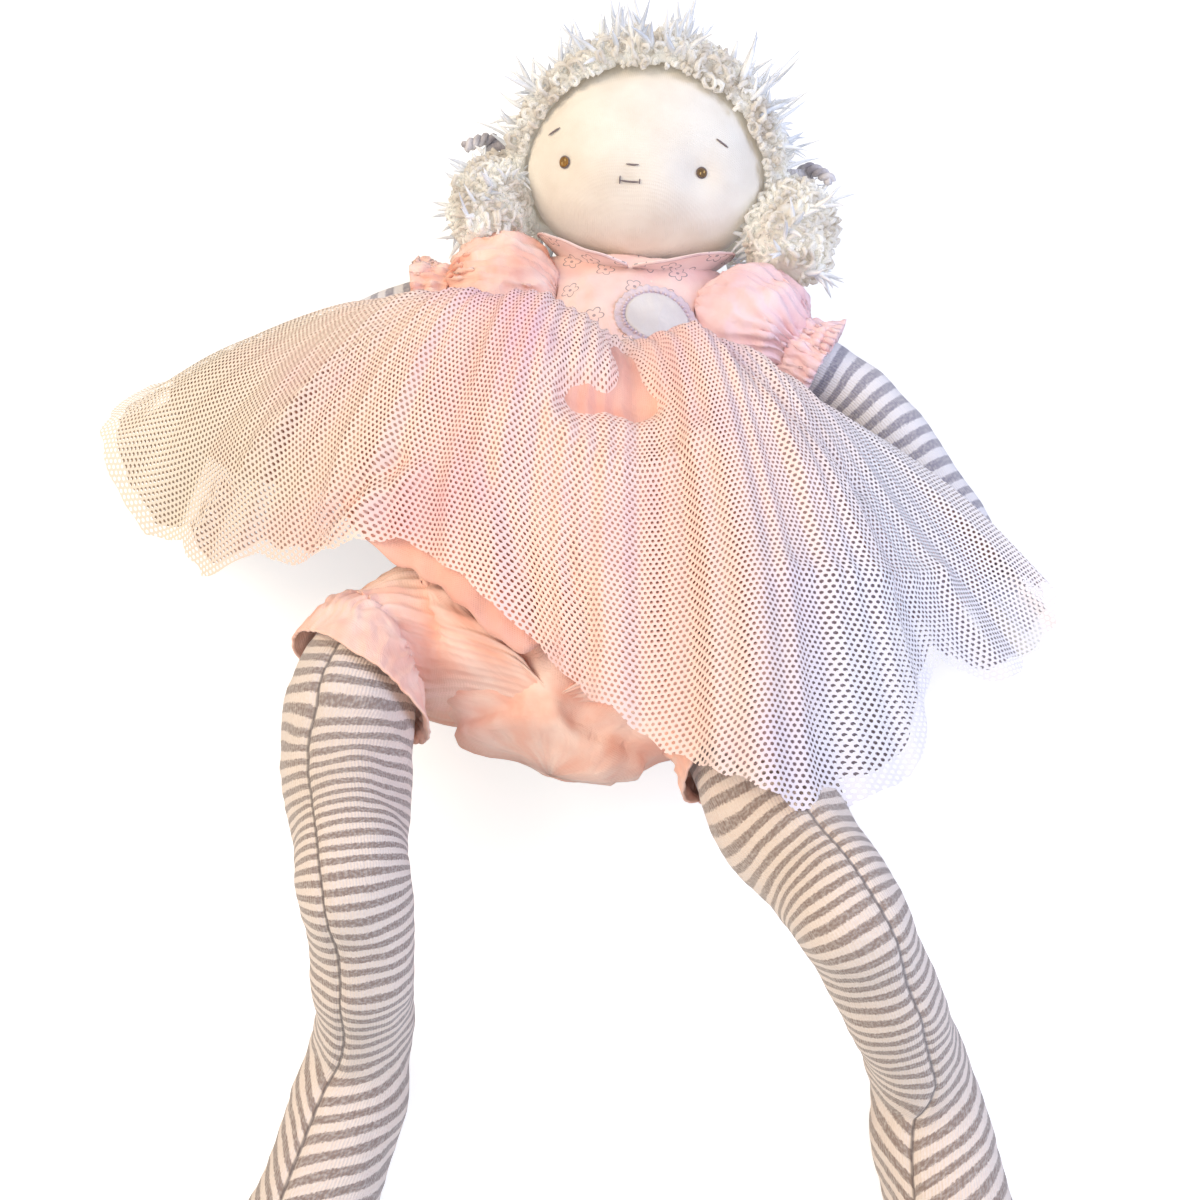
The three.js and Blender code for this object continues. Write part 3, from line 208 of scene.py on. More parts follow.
@dataclass
class Shape:
    """Mesh in the making: points in millimetres, faces, and a UV in metres for each corner."""

    points: Array
    faces: list[tuple[int, ...]]
    corners: Optional[Array] = None

    def quads(self) -> Array:
        """Return the faces with four corners each; a triangle repeats its last."""
        return np.array([face if len(face) == 4 else (*face, face[2]) for face in self.faces])

    def normals(self) -> Array:
        """Return a normal for each point."""
        total = np.zeros_like(self.points)
        quads = self.quads()
        across = self.points[quads[:, 2]] - self.points[quads[:, 0]]
        along = self.points[quads[:, 3]] - self.points[quads[:, 1]]
        facing = np.cross(across, along)
        for corner in range(4):
            np.add.at(total, quads[:, corner], facing)
        return unit(total)

    def lift(self, amount: Array) -> "Shape":
        """Move each point out along its normal by its own amount."""
        self.points = self.points + self.normals() * np.asarray(amount).reshape(-1, 1)
        return self

    def crumple(self, amount: float, size: Sequence[float], seed: float) -> "Shape":
        """Raise and sink the surface in soft lumps.

        Args:
            amount: the height of the lumps in millimetres.
            size: how long a lump is along x, y and z.
            seed: shifts the pattern.

        Returns:
            The same shape.
        """
        scaled = self.points / np.array(size, dtype=float) + seed
        return self.lift(np.array([noise.noise(Vector(place)) for place in scaled]) * amount)

    def kept_out_of(self, centre: Array, radius: float) -> "Shape":
        """Push every point out of a ball that a neighbour fills."""
        away = self.points - centre
        distance = np.linalg.norm(away, axis=1, keepdims=True)
        inside = distance < radius
        self.points = np.where(inside, centre + away / np.maximum(distance, 1e-9) * radius, self.points)
        return self

    def above_floor(self, clearance: float = 0.3) -> "Shape":
        """Flatten the underside on the plane that the doll lies on."""
        self.points[:, 2] = np.maximum(self.points[:, 2], clearance)
        return self

    def facing_out(self) -> "Shape":
        """Turn the faces outwards."""
        near = self.points - self.points.mean(axis=0)
        quads = self.quads()
        a, b, c, d = (near[quads[:, corner]] for corner in range(4))
        volume = np.einsum("ij,ij->", a, np.cross(b, c)) + np.einsum("ij,ij->", a, np.cross(c, d))
        if volume < 0:
            sizes = [len(face) for face in self.faces]
            self.faces = [tuple(reversed(face)) for face in self.faces]
            if self.corners is not None:
                ends = np.cumsum(sizes)
                order = np.concatenate([np.arange(end - 1, end - size - 1, -1) for end, size in zip(ends, sizes)])
                self.corners = self.corners[order]
        return self

    def without(self, drop: Callable[[Array], bool]) -> "Shape":
        """Leave out the faces whose corners a test picks."""
        faces, corners, start = [], [], 0
        for face in self.faces:
            size = len(face)
            if not drop(self.points[list(face)]):
                faces.append(face)
                if self.corners is not None:
                    corners.append(self.corners[start:start + size])
            start += size
        used = sorted({point for face in faces for point in face})
        where = {point: place for place, point in enumerate(used)}
        points = self.points[used]
        return Shape(
            points,
            [tuple(where[point] for point in face) for face in faces],
            np.concatenate(corners) if corners else None,
        )


def loft(rings: Array, cloth: Optional[Array] = None, wraps: bool = True, capped: bool = False) -> Shape:
    """Skin a stack of rings.

    Args:
        rings: points in millimetres, ring by ring.
        cloth: the cloth's own place of each point in metres, with one more column than
            the rings where they wrap.
        wraps: whether each ring is closed.
        capped: whether a fan closes each end.

    Returns:
        The skin as a shape.
    """
    count, sides = rings.shape[:2]
    columns = sides if wraps else sides - 1
    side = np.arange(columns)
    after = (side + 1) % sides
    faces: list[tuple[int, ...]] = []
    corners: list[Array] = []
    for band in range(count - 1):
        here, there = band * sides, (band + 1) * sides
        ends = (here + side, here + after, there + after, there + side)
        faces.extend(zip(*(end.tolist() for end in ends)))
        if cloth is not None:
            near, far = cloth[band], cloth[band + 1]
            quad = np.stack([near[:columns], near[1:columns + 1], far[1:columns + 1], far[:columns]], axis=1)
            corners.append(quad.reshape(-1, 2))
    points = rings.reshape(-1, 3)
    if capped:
        for ring, flips in ((0, True), (count - 1, False)):
            centre = len(points)
            points = np.vstack([points, rings[ring].mean(axis=0)])
            start = ring * sides
            for step in range(sides):
                edge = (start + step, start + (step + 1) % sides)
                faces.append((centre, edge[1], edge[0]) if flips else (centre, edge[0], edge[1]))
                if cloth is not None:
                    low, high = cloth[ring, step], cloth[ring, step + 1]
                    tip = (low + high) / 2
                    corners.append(np.array([tip, high, low] if flips else [tip, low, high]))
    return Shape(points, faces, np.concatenate(corners) if corners else None)


def joined(shapes: Sequence[Shape]) -> Shape:
    """Return several shapes as one."""
    points, faces, corners, start = [], [], [], 0
    for shape in shapes:
        points.append(shape.points)
        faces.extend(tuple(point + start for point in face) for face in shape.faces)
        if shape.corners is not None:
            corners.append(shape.corners)
        start += len(shape.points)
    return Shape(np.vstack(points), faces, np.concatenate(corners) if corners else None)


def cloth_map(rings: Array, width: Optional[float] = None) -> Array:
    """Lay out rings as cloth.

    Args:
        rings: points in millimetres, ring by ring.
        width: the cloth's width in millimetres, or None for each ring's own girth.

    Returns:
        The place of each point in metres, with one more column than the rings.
    """
    count, sides = rings.shape[:2]
    closed = np.concatenate([rings, rings[:, :1]], axis=1)
    steps = np.linalg.norm(np.diff(closed, axis=1), axis=2)
    girth = np.concatenate([np.zeros((count, 1)), np.cumsum(steps, axis=1)], axis=1)
    if width is not None:
        girth = girth / girth[:, -1:] * width
    else:
        girth = girth - girth[:, -1:] / 2
    middles = rings.mean(axis=1)
    along = np.concatenate([[0.0], np.cumsum(np.linalg.norm(np.diff(middles, axis=0), axis=1))])
    return np.stack([girth * MM, np.repeat(along[:, None], sides + 1, axis=1) * MM], axis=2)


def skinned(rings: Sequence[Array], width: Optional[float] = None, capped: bool = False) -> Shape:
    """Return the skin over a stack of rings, laid out as cloth so wide."""
    stack = np.array(rings)
    return loft(stack, cloth_map(stack, width), capped=capped)


def tube_along(path: Array, radii: Sequence[float], sides: int = 6, capped: bool = True) -> Shape:
    """Make a round tube along a path.

    Args:
        path: points in millimetres.
        radii: the tube's radius at each point.
        sides: how many sides it has.
        capped: whether its ends are closed.

    Returns:
        The tube, with its cloth map run along it.
    """
    headings = unit(np.gradient(path, axis=0))
    side_way = np.cross(headings[0], UP)
    if np.linalg.norm(side_way) < 1e-3:
        side_way = ACROSS
    rings = []
    for centre, heading, radius in zip(path, headings, radii):
        side_way = unit(side_way - heading * float(side_way @ heading))
        over = np.cross(heading, side_way)
        rings.append(hoop(centre, side_way, over, spread(sides), radius, radius))
    return skinned(rings, capped=capped)


# --------------------------------------------------------------------- finishes


def colour(code: str) -> tuple[float, float, float, float]:
    """Return the linear colour of an sRGB hex code."""
    parts = [int(code[start:start + 2], 16) / 255 for start in (1, 3, 5)]
    linear = [part / 12.92 if part <= 0.04045 else ((part + 0.055) / 1.055) ** 2.4 for part in parts]
    return (linear[0], linear[1], linear[2], 1.0)


def add_node(
    tree: bpy.types.NodeTree, kind: str, sockets: Optional[dict] = None, output: object = 0, **settings: object
) -> Optional[Socket]:
    """Add a node with its settings and links.

    Args:
        tree: the material's node tree.
        kind: Blender's name for the kind of node, without its prefix.
        sockets: a value or another node's output for each input, by name or number.
        output: the output that is wanted, by name or number.
        settings: the node's own settings.

    Returns:
        That output, or None for a node that has none.
    """
    made = tree.nodes.new(f"ShaderNode{kind}")
    for name, value in settings.items():
        setattr(made, name, value)
    for socket, value in (sockets or {}).items():
        if isinstance(value, Socket):
            tree.links.new(value, made.inputs[socket])
        else:
            made.inputs[socket].default_value = value
    return made.outputs[output] if made.outputs else None


@dataclass(frozen=True)
class Finish:
    """A finish of the doll; each kind paints its own nodes."""

    name: str

    def paint(self, add: Adder) -> Socket:
        """Add the finish's nodes and return its shader."""
        raise NotImplementedError

    def material(self) -> bpy.types.Material:
        """Return the finish as a material, made on first use."""
        found = bpy.data.materials.get(self.name)
        if found:
            return found
        made = bpy.data.materials.new(self.name)
        made.use_nodes = True
        made.node_tree.nodes.clear()
        add = partial(add_node, made.node_tree)
        add("OutputMaterial", {"Surface": self.paint(add)})
        return made


class Follows(Enum):
    """What a pattern follows."""

    CLOTH = "UV"
    SPACE = "Object"


@dataclass(frozen=True)
class WovenCotton(Finish):
    """Plain-woven cotton: matt, faintly ribbed both ways, with soft creases."""

    light: str = "#FFFFFF"
    shade: str = "#DDDDDD"
    thread: float = 0.6
    crease: float = 5.0
    crease_depth: float = 0.25
    follows: Follows = Follows.CLOTH
    printed: Optional[str] = None
    motif: float = 17.0

    def paint(self, add: Adder) -> Socket:
        """Add the cotton's nodes and return its shader."""
        coords = add("TexCoord", output=self.follows.value)
        shade = colour(self.shade)
        # soft patches between the light and shade colours: uneven tone, and in the peach cotton also painted light and
        # shade
        mottle = add("TexNoise", {"Vector": coords, "Scale": 60.0, "Detail": 3.0}, "Fac")
        patch = add("MapRange", {"Value": mottle, "From Min": 0.35, "From Max": 0.68})
        base = add("Mix", {0: patch, 6: colour(self.light), 7: shade}, 2, data_type="RGBA")
        weave = {"Vector": coords, "Scale": WAVE_PERIOD / (self.thread * MM)}
        weave |= {"Distortion": 1.4, "Detail": 1.0, "Detail Scale": 0.6}
        warp, weft = (add("TexWave", weave, "Fac", bands_direction=way) for way in "XY")
        threads = add("Math", {0: warp, 1: weft}, operation="MULTIPLY")
        # painted shade: the gaps between the threads are darkened a little towards the shade colour
        thread_gap_shade = add("MapRange", {"Value": threads, "To Min": 0.10, "To Max": 0.0})
        base = add("Mix", {0: thread_gap_shade, 6: base, 7: shade}, 2, data_type="RGBA")
        if self.printed:
            base = self.sprigs(add, coords, base)
        soft = {"Vector": coords, "Scale": 1 / (self.crease * MM), "Detail": 2.0, "Distortion": 0.8}
        creases = add("TexNoise", soft, "Fac")
        folds = add("Bump", {"Height": creases, "Strength": self.crease_depth, "Distance": 1.2 * MM})
        grain = add("Bump", {"Height": threads, "Strength": 0.35, "Distance": 0.25 * MM, "Normal": folds})
        surface = {"Base Color": base, "Roughness": 0.92, "Normal": grain, "Specular IOR Level": 0.25}
        return add("BsdfPrincipled", surface | {"Sheen Weight": 0.25, "Sheen Roughness": 0.5})

    def sprigs(self, add: Adder, coords: Socket, base: Socket) -> Socket:
        """Print a sparse, thin outline of five petals in some cells of a loose grid."""
        grid = {"Vector": coords, "Scale": 1 / (self.motif * MM), "Randomness": 0.55}
        cells = add("TexVoronoi", grid, voronoi_dimensions="2D").node.outputs
        away = add("VectorMath", {0: coords, 1: cells["Position"]}, operation="SUBTRACT")
        parts = add("SeparateXYZ", {0: away}).node.outputs
        angle = add("Math", {0: parts[1], 1: parts[0]}, operation="ARCTAN2")
        length = add("VectorMath", {0: away}, "Value", operation="LENGTH")
        lobes = add("Math", {0: angle, 1: 2.5}, operation="MULTIPLY")
        for operation in ("SINE", "ABSOLUTE"):
            lobes = add("Math", {0: lobes}, operation=operation)
        rim = add("Math", {0: lobes, 1: 1.7 * MM, 2: 2.2 * MM}, operation="MULTIPLY_ADD")
        away_from_rim = add("Math", {0: length, 1: rim}, operation="SUBTRACT")
        near = add("Math", {0: away_from_rim}, operation="ABSOLUTE")
        marks = []
        for value, inner, outer, strength in ((near, 0.16, 0.34, 0.8), (length, 0.6, 0.8, 0.7)):
            edge = {"Value": value, "From Min": inner * MM, "From Max": outer * MM, "To Min": strength, "To Max": 0.0}
            marks.append(add("MapRange", edge))
        drawn = add("Math", {0: marks[0], 1: marks[1]}, operation="MAXIMUM")
        pick = add("SeparateColor", {0: cells["Color"]})
        sparse = add("Math", {0: pick, 1: 0.45}, operation="GREATER_THAN")
        ink = add("Math", {0: drawn, 1: sparse}, operation="MULTIPLY")
        return add("Mix", {0: ink, 6: base, 7: colour(self.printed)}, 2, data_type="RGBA")


@dataclass(frozen=True)
class DressNet(Finish):
    """Stiff hexagonal net of smooth yarn, whose tint drifts across the skirt; on the under net the darker ends are
    painted shade.
    """

    left: str = "#FFFFFF"
    middle: str = "#FFFFFF"
    right: str = "#FFFFFF"
    patch: str = "#FFFFFF"
    cell: float = 1.9
    thread_share: float = 0.2

    def threads(self, add: Adder, coords: Socket) -> Socket:
        """Return 1 on the threads and 0 in the open cells, which close near the waist."""
        tall = math.sqrt(3)
        repeat, half = (1.0, tall, 1.0), (0.5, tall / 2, 0.0)
        grid = add("VectorMath", {0: coords, "Scale": 1 / (self.cell * MM)}, operation="SCALE")
        shifted = add("VectorMath", {0: grid, 1: (400.0, 400.0 * tall, 0.0)}, operation="ADD")
        edges = []
        for offset in ((0.0, 0.0, 0.0), half):
            level = shifted
            steps = ((offset, "SUBTRACT"), (repeat, "MODULO"), (half, "SUBTRACT"), ((1.0, 1.0, 0.0), "MULTIPLY"))
            for step, operation in steps:
                level = add("VectorMath", {0: level, 1: step}, operation=operation)
            level = add("VectorMath", {0: level}, operation="ABSOLUTE")
            slant = add("VectorMath", {0: level, 1: half}, "Value", operation="DOT_PRODUCT")
            edges.append(add("Math", {0: slant, 1: add("SeparateXYZ", {0: level})}, operation="MAXIMUM"))
        rim = add("Math", {0: edges[0], 1: edges[1]}, operation="MINIMUM")
        fall = add("SeparateXYZ", {0: coords}, 1)
        close = add("TexNoise", {"Vector": coords, "Scale": 26.0, "Detail": 1.0}, "Fac")
        wandering = add("Math", {0: close, 1: 0.05, 2: fall}, operation="MULTIPLY_ADD")
        opening = {"Value": wandering, "From Min": 0.02, "From Max": 0.095, "To Min": 0.17}
        opening["To Max"] = 0.5 - self.thread_share
        return add("Math", {0: rim, 1: add("MapRange", opening)}, operation="GREATER_THAN")

    def paint(self, add: Adder) -> Socket:
        """Add the net's nodes and return its shader."""
        source = add("TexCoord").node.outputs
        wander = add("TexNoise", {"Vector": source["Object"], "Scale": 22.0, "Detail": 2.0}, "Fac")
        across = add("SeparateXYZ", {0: source["Object"]})
        drift = add("Math", {0: wander, 1: 0.06, 2: across}, operation="MULTIPLY_ADD")
        base = colour(self.middle)
        # the tint drifts to the left and right colours at the ends of the skirt; in the under net these are painted
        # shade
        for value, low, high, first, second in (
            (wander, 0.47, 0.66, None, self.patch),
            (drift, -0.09, -0.01, self.left, None),
            (drift, 0.065, 0.125, None, self.right),
        ):
            share = add("MapRange", {"Value": value, "From Min": low, "From Max": high})
            tints = {6: colour(first) if first else base, 7: colour(second) if second else base}
            base = add("Mix", {0: share} | tints, 2, data_type="RGBA")
        surface = {"Base Color": base, "Roughness": 0.6, "Alpha": self.threads(add, source["UV"])}
        return add("BsdfPrincipled", surface | {"Sheen Weight": 0.2, "Specular IOR Level": 0.4})


@dataclass(frozen=True)
class StripedJersey(Finish):
    """Brushed cotton jersey knitted in two colours: soft, with fine ribs up the leg."""

    pale: str = "#EDE5DF"
    dark: str = "#A2948F"
    pair: float = 6.3
    seam: float = 0.0

    def paint(self, add: Adder) -> Socket:
        """Add the jersey's nodes and return its shader."""
        coords = add("TexCoord", output="UV")
        parts = add("SeparateXYZ", {0: coords}).node.outputs
        level = parts[1]
        for scale, reach in ((55.0, 3.2), (1500.0, 1.5)):
            wander = add("TexNoise", {"Vector": coords, "Scale": scale, "Detail": 1.0}, "Fac")
            level = add("Math", {0: wander, 1: reach * MM, 2: level}, operation="MULTIPLY_ADD")
        phase = add("Math", {0: level, 1: TURN / (self.pair * MM)}, operation="MULTIPLY")
        wave = add("Math", {0: phase}, operation="SINE")
        band = add("MapRange", {"Value": wave, "From Min": -0.28, "From Max": 0.28})
        base = add("Mix", {0: band, 6: colour(self.pale), 7: colour(self.dark)}, 2, data_type="RGBA")
        fluff = add("TexNoise", {"Vector": coords, "Scale": 900.0, "Detail": 3.0}, "Fac")
        specks = add("MapRange", {"Value": fluff, "From Min": 0.42, "From Max": 0.75, "To Min": 0.0, "To Max": 0.4})
        base = add("Mix", {0: specks, 6: base, 7: colour("#F4EDE8")}, 2, data_type="RGBA")
        if self.seam:
            folded = add("Math", {0: parts[0], 1: self.seam}, operation="PINGPONG")
            inward = add("Math", {0: self.seam, 1: parts[0]}, operation="SUBTRACT")
            closest = add("Math", {0: folded, 1: inward}, operation="MINIMUM")
            line = {"Value": closest, "From Min": 0.25 * MM, "From Max": 0.7 * MM, "To Min": 0.75, "To Max": 0.0}
            base = add("Mix", {0: add("MapRange", line), 6: base, 7: colour("#5E5453")}, 2, data_type="RGBA")
        knit = {"Vector": coords, "Scale": WAVE_PERIOD / (0.9 * MM), "Distortion": 1.2}
        ribs = add("TexWave", knit, "Fac", bands_direction="X")
        height = add("Math", {0: ribs, 1: 0.5, 2: fluff}, operation="MULTIPLY_ADD")
        bump = add("Bump", {"Height": height, "Strength": 0.5, "Distance": 0.5 * MM})
        surface = {"Base Color": base, "Roughness": 0.95, "Normal": bump, "Specular IOR Level": 0.15}
        return add("BsdfPrincipled", surface | {"Sheen Weight": 0.5, "Sheen Roughness": 0.6})


@dataclass(frozen=True)
class Yarn(Finish):
    """Twisted or looped yarn: fibrous and partly translucent, with a painted glow (emission) that stands in for the
    light passing between the fibres.
    """

    light: str = "#FFFFFF"
    shade: str = "#DDDDDD"
    roughness: float = 0.75
    fibre: float = 0.5
    bump: float = 0.6
    airy: float = 0.0
    glow: float = 0.0

    def paint(self, add: Adder) -> Socket:
        """Add the yarn's nodes and return its shader."""
        coords = add("TexCoord", output="Object")
        # soft patches between the light and shade colours: uneven tone, and in the boucle and eyelash yarn also painted
        # shade among the curls
        mottle = add("TexNoise", {"Vector": coords, "Scale": 110.0, "Detail": 3.0}, "Fac")
        patch = add("MapRange", {"Value": mottle, "From Min": 0.4, "From Max": 0.68})
        base = add("Mix", {0: patch, 6: colour(self.light), 7: colour(self.shade)}, 2, data_type="RGBA")
        fibres = add("TexNoise", {"Vector": coords, "Scale": 1 / (self.fibre * MM), "Detail": 3.0}, "Fac")
        bump = add("Bump", {"Height": fibres, "Strength": self.bump, "Distance": 0.4 * MM})
        surface = {"Base Color": base, "Roughness": self.roughness, "Normal": bump, "Sheen Weight": 0.3}
        # painted light: the yarn glows in its own colour by the glow strength, though it is no lamp
        surface |= {"Specular IOR Level": 0.4, "Emission Color": base, "Emission Strength": self.glow}
        spun = add("BsdfPrincipled", surface)
        if not self.airy:
            return spun
        through = add("BsdfTranslucent", {"Color": base})
        return add("MixShader", {0: self.airy, 1: spun, 2: through})


# painted light and shade: the peach cotton's strong mottle of near-white and coral patches stands in for the light and
# shade on its folds, on top of its uneven tone
PEACH_COTTON = WovenCotton("plain_peach_cotton", "#FDE1D5", "#F3B5A0", 0.55, 6.0, 0.6)
# painted light: a cooler pink copy of the peach cotton for the left sleeve, standing in for the cool light on that side
COOL_COTTON = WovenCotton("cool_pink_cotton", "#F8DDE0", "#EDC3C6", 0.55, 6.0, 0.6)
BODICE_PRINT = WovenCotton("printed_pale_cotton", "#FAE2DC", "#F5CFC8", 0.55, 7.0, 0.4, printed="#857C84", motif=15.0)
# painted light: the collar is a paler copy of the bodice print, lightened to make up for the head's shadow on it
COLLAR_PRINT = WovenCotton("printed_collar_cotton", "#FDF1EE", "#F9DFDA", 0.55, 7.0, 0.4, printed="#857C84", motif=13.0)
PEACH_LINING = WovenCotton("salmon_cotton_lining", "#F3C2B1", "#E9AA99", 0.55, 7.0, 0.5)
CALICO_SKIN = WovenCotton("natural_calico", "#F3EEE4", "#E9E1D5", 0.7, 9.0, 0.15, Follows.SPACE)
BADGE_CLOTH = WovenCotton("grey_white_badge_cloth", "#E8E4E2", "#D3CDCD", 0.5, 4.0, 0.25, Follows.SPACE)
BADGE_BRAID = WovenCotton("grey_frilled_braid", "#EFE0E6", "#CDBBC5", 0.5, 3.0, 0.4, Follows.SPACE)
PINK_NET = DressNet("pinkish_dress_net", "#E6DACA", "#F7DACF", "#EFEAEC", "#F1C6CA", 1.75, 0.23)
# painted shade: the under net darkens to greyish beige at its left end and grey-lilac at its right, standing in for the
# shadow under the outer net
UNDER_NET = DressNet("shaded_dress_net", "#CDB9A7", "#FAD3C6", "#A79BA1", "#F5C3C3", 1.75, 0.25)
JERSEY = StripedJersey("striped_brushed_jersey", "#E6D5CA", "#8F7C74", seam=0.105)
# painted light: a cool grey copy of the striped jersey, standing in for the cool light that falls on the arms
ARM_JERSEY = StripedJersey("striped_cool_jersey", "#E6E3E8", "#93909F")
# painted light and shade: the boucle and eyelash yarn glow faintly by their last number, and their grey and bluish-grey
# shade colours partly stand in for the shade among the curls
BOUCLE = Yarn("boucle_yarn", "#FFFEFA", "#E6DED4", 0.85, 0.7, 0.9, 0.4, 0.14)
EYELASH_YARN = Yarn("glossy_eyelash_yarn", "#FFFFFF", "#D9DEE6", 0.35, 0.5, 0.2, 0.25, 0.1)
GREY_THREAD = Yarn("grey_embroidery_thread", "#75696C", "#8A7E80", 0.7, 0.3, 0.5)
AMBER_THREAD = Yarn("amber_embroidery_thread", "#B5812B", "#7A5A26", 0.5, 0.3, 0.6)
BROWN_THREAD = Yarn("brown_embroidery_thread", "#84683F", "#5A4630", 0.5, 0.3, 0.6)
# painted highlight: pale thread for the glints laid on the eyes
GLINT_THREAD = Yarn("pale_gold_glint_thread", "#E3C27C", "#B99A5B", 0.5, 0.3, 0.6)
PINK_THREAD = Yarn("dusty_pink_thread", "#E6C9C6", "#CFA9A8", 0.8, 0.3, 0.5)
SOFT_ELASTIC = WovenCotton("braided_elastic", "#F2D6C8", "#E6BFAE", 0.8, 2.0, 0.3)
TIE_CORD = Yarn("grey_twisted_cord", "#D8D4D8", "#8F8A94", 0.6, 0.8, 0.6)


# ----------------------------------------------------------------- piece making


def make_piece(
    name: str, shape: Shape, finish: Finish, body: Optional[str] = None, nodes: Sequence[str] = ()
) -> bpy.types.Object:
    """Turn a shape into a piece of the doll.

    Args:
        name: the piece's name.
        shape: its mesh, in the doll's own millimetres.
        finish: its finish.
        body: the body that it rides on, or None for a piece that rides on none.
        nodes: the CAD nodes that it stands for.

    Returns:
        The piece.
    """
    shape.facing_out()
    mesh = bpy.data.meshes.new(name)
    mesh.from_pydata(placed(shape.points).tolist(), [], shape.faces)
    if shape.corners is not None:
        mesh.uv_layers.new(name="cloth").data.foreach_set("uv", shape.corners.astype(np.float32).ravel())
    mesh.polygons.foreach_set("use_smooth", [True] * len(mesh.polygons))
    mesh.materials.append(finish.material())
    mesh.update()
    piece = bpy.data.objects.new(name, mesh)
    bpy.context.scene.collection.objects.link(piece)
    if body:
        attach(piece, body)
    if nodes:
        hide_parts(*nodes)
    LOG.info("%s: %d faces", name, len(mesh.polygons))
    return piece


def thicken(piece: bpy.types.Object, thickness: float) -> None:
    """Give a sheet its thickness, inwards, and apply it.

    Args:
        piece: the sheet.
        thickness: its thickness in millimetres.
    """
    bpy.ops.object.select_all(action="DESELECT")
    bpy.context.view_layer.objects.active = piece
    piece.select_set(True)
    wall = piece.modifiers.new("cloth_wall", "SOLIDIFY")
    wall.thickness = thickness * MM
    wall.offset = -1
    wall.use_even_offset = False
    bpy.ops.object.modifier_apply(modifier=wall.name)
    piece.select_set(False)


# ------------------------------------------------------------------ sub-assemblies

BODY_LENGTH = 184.0
BODY_HALF_WIDTH = 37.0
BODY_HALF_DEPTH = 26.0
CAMERA_PLACE = vec(32.93, -137.29, 360.0)
NECK = vec(0, 189, 28)
HEAD_UP = vec(0, math.cos(math.radians(30)), math.sin(math.radians(30)))
HEAD_FRONT = vec(0, -HEAD_UP[2], HEAD_UP[1])
HEAD_MIDDLE = NECK + HEAD_UP * 42
SHOULDER = vec(46, 166, 36)
HIP = vec(26, 28, 30)
SLEEVE_RADIUS = 23.0

BODY_TABLE = eased_table([
    (-0.02, 0.3, 0.3, 2.4),
    (0.03, 0.66, 0.68, 0.8),
    (0.14, 0.97, 0.95, 0.05),
    (0.3, 1, 1, 0),
    (0.5, 0.89, 0.92, 1),
    (0.7, 0.87, 0.9, 1),
    (0.82, 0.95, 1, 0),
    (0.91, 0.94, 0.94, 0.25),
    (0.96, 0.76, 0.78, 0.9),
    (0.99, 0.44, 0.52, 2),
])


def body_section(station: float) -> tuple[float, float, float]:
    """Return the body's half width, half depth and centre height at a distance along it."""
    width, depth, rise = BODY_TABLE(station / BODY_LENGTH)
    half_depth = depth * BODY_HALF_DEPTH
    return width * BODY_HALF_WIDTH, half_depth, 1.1 + rise * 8.5 + half_depth


def body_rings(stations: Sequence[float], ease: float, sides: int) -> Array:
    """Return rings round the body.

    Args:
        stations: where along the body they lie, in millimetres.
        ease: how far outside it they lie.
        sides: how many points each has.

    Returns:
        The rings, in the order of the stations.
    """
    rings = []
    for station in stations:
        width, depth, height = body_section(station)
        rings.append(hoop(vec(0, station, height), ACROSS, UP, spread(sides), width + ease, depth + ease))
    return np.array(rings)


def mirrored(side: Side, place: Array) -> Array:
    """Return a place given for the left side on the side asked for."""
    return place * vec(side.value, 1, 1)


def toward_camera(centre: Array, heading: Array) -> Array:
    """Return the direction square to a heading that looks most towards the camera."""
    toward = CAMERA_PLACE - centre
    return unit(toward - heading * float(toward @ heading))


def on_head(across: float, up: float, front: float) -> Array:
    """Return the place given across, up and to the front of the head's middle."""
    return HEAD_MIDDLE + vec(across, 0, 0) + HEAD_UP * up + HEAD_FRONT * front


@dataclass
class StuffedBody:
    """The calico body, under the dress."""

    sides: int = 48
    rings: int = 44

    def build(self) -> None:
        """Make the body and the neck."""
        stations = np.linspace(-0.02, 0.99, self.rings) * BODY_LENGTH
        shape = skinned(body_rings(stations, 0, self.sides), capped=True)
        shape.crumple(0.5, (14, 14, 14), 3.1).kept_out_of(NECK, 14.5)
        for side in Side:
            shape.kept_out_of(mirrored(side, SHOULDER), 24.0).kept_out_of(mirrored(side, HIP), 16.5)
        body = make_piece("stuffed_body", shape, CALICO_SKIN, "torso", ["torso"])
        ball = []
        for fall in np.linspace(0.12, math.pi - 0.12, 16):
            wide = 13.8 * math.sin(fall)
            ball.append(hoop(NECK + 13.8 * math.cos(fall) * HEAD_UP, ACROSS, HEAD_FRONT, spread(28), wide, wide))
        neck_shape = skinned(ball, capped=True).crumple(0.4, (5, 5, 5), 8.0)
        neck = make_piece("neck_stuffing", neck_shape, CALICO_SKIN, "neck", ["neck"])


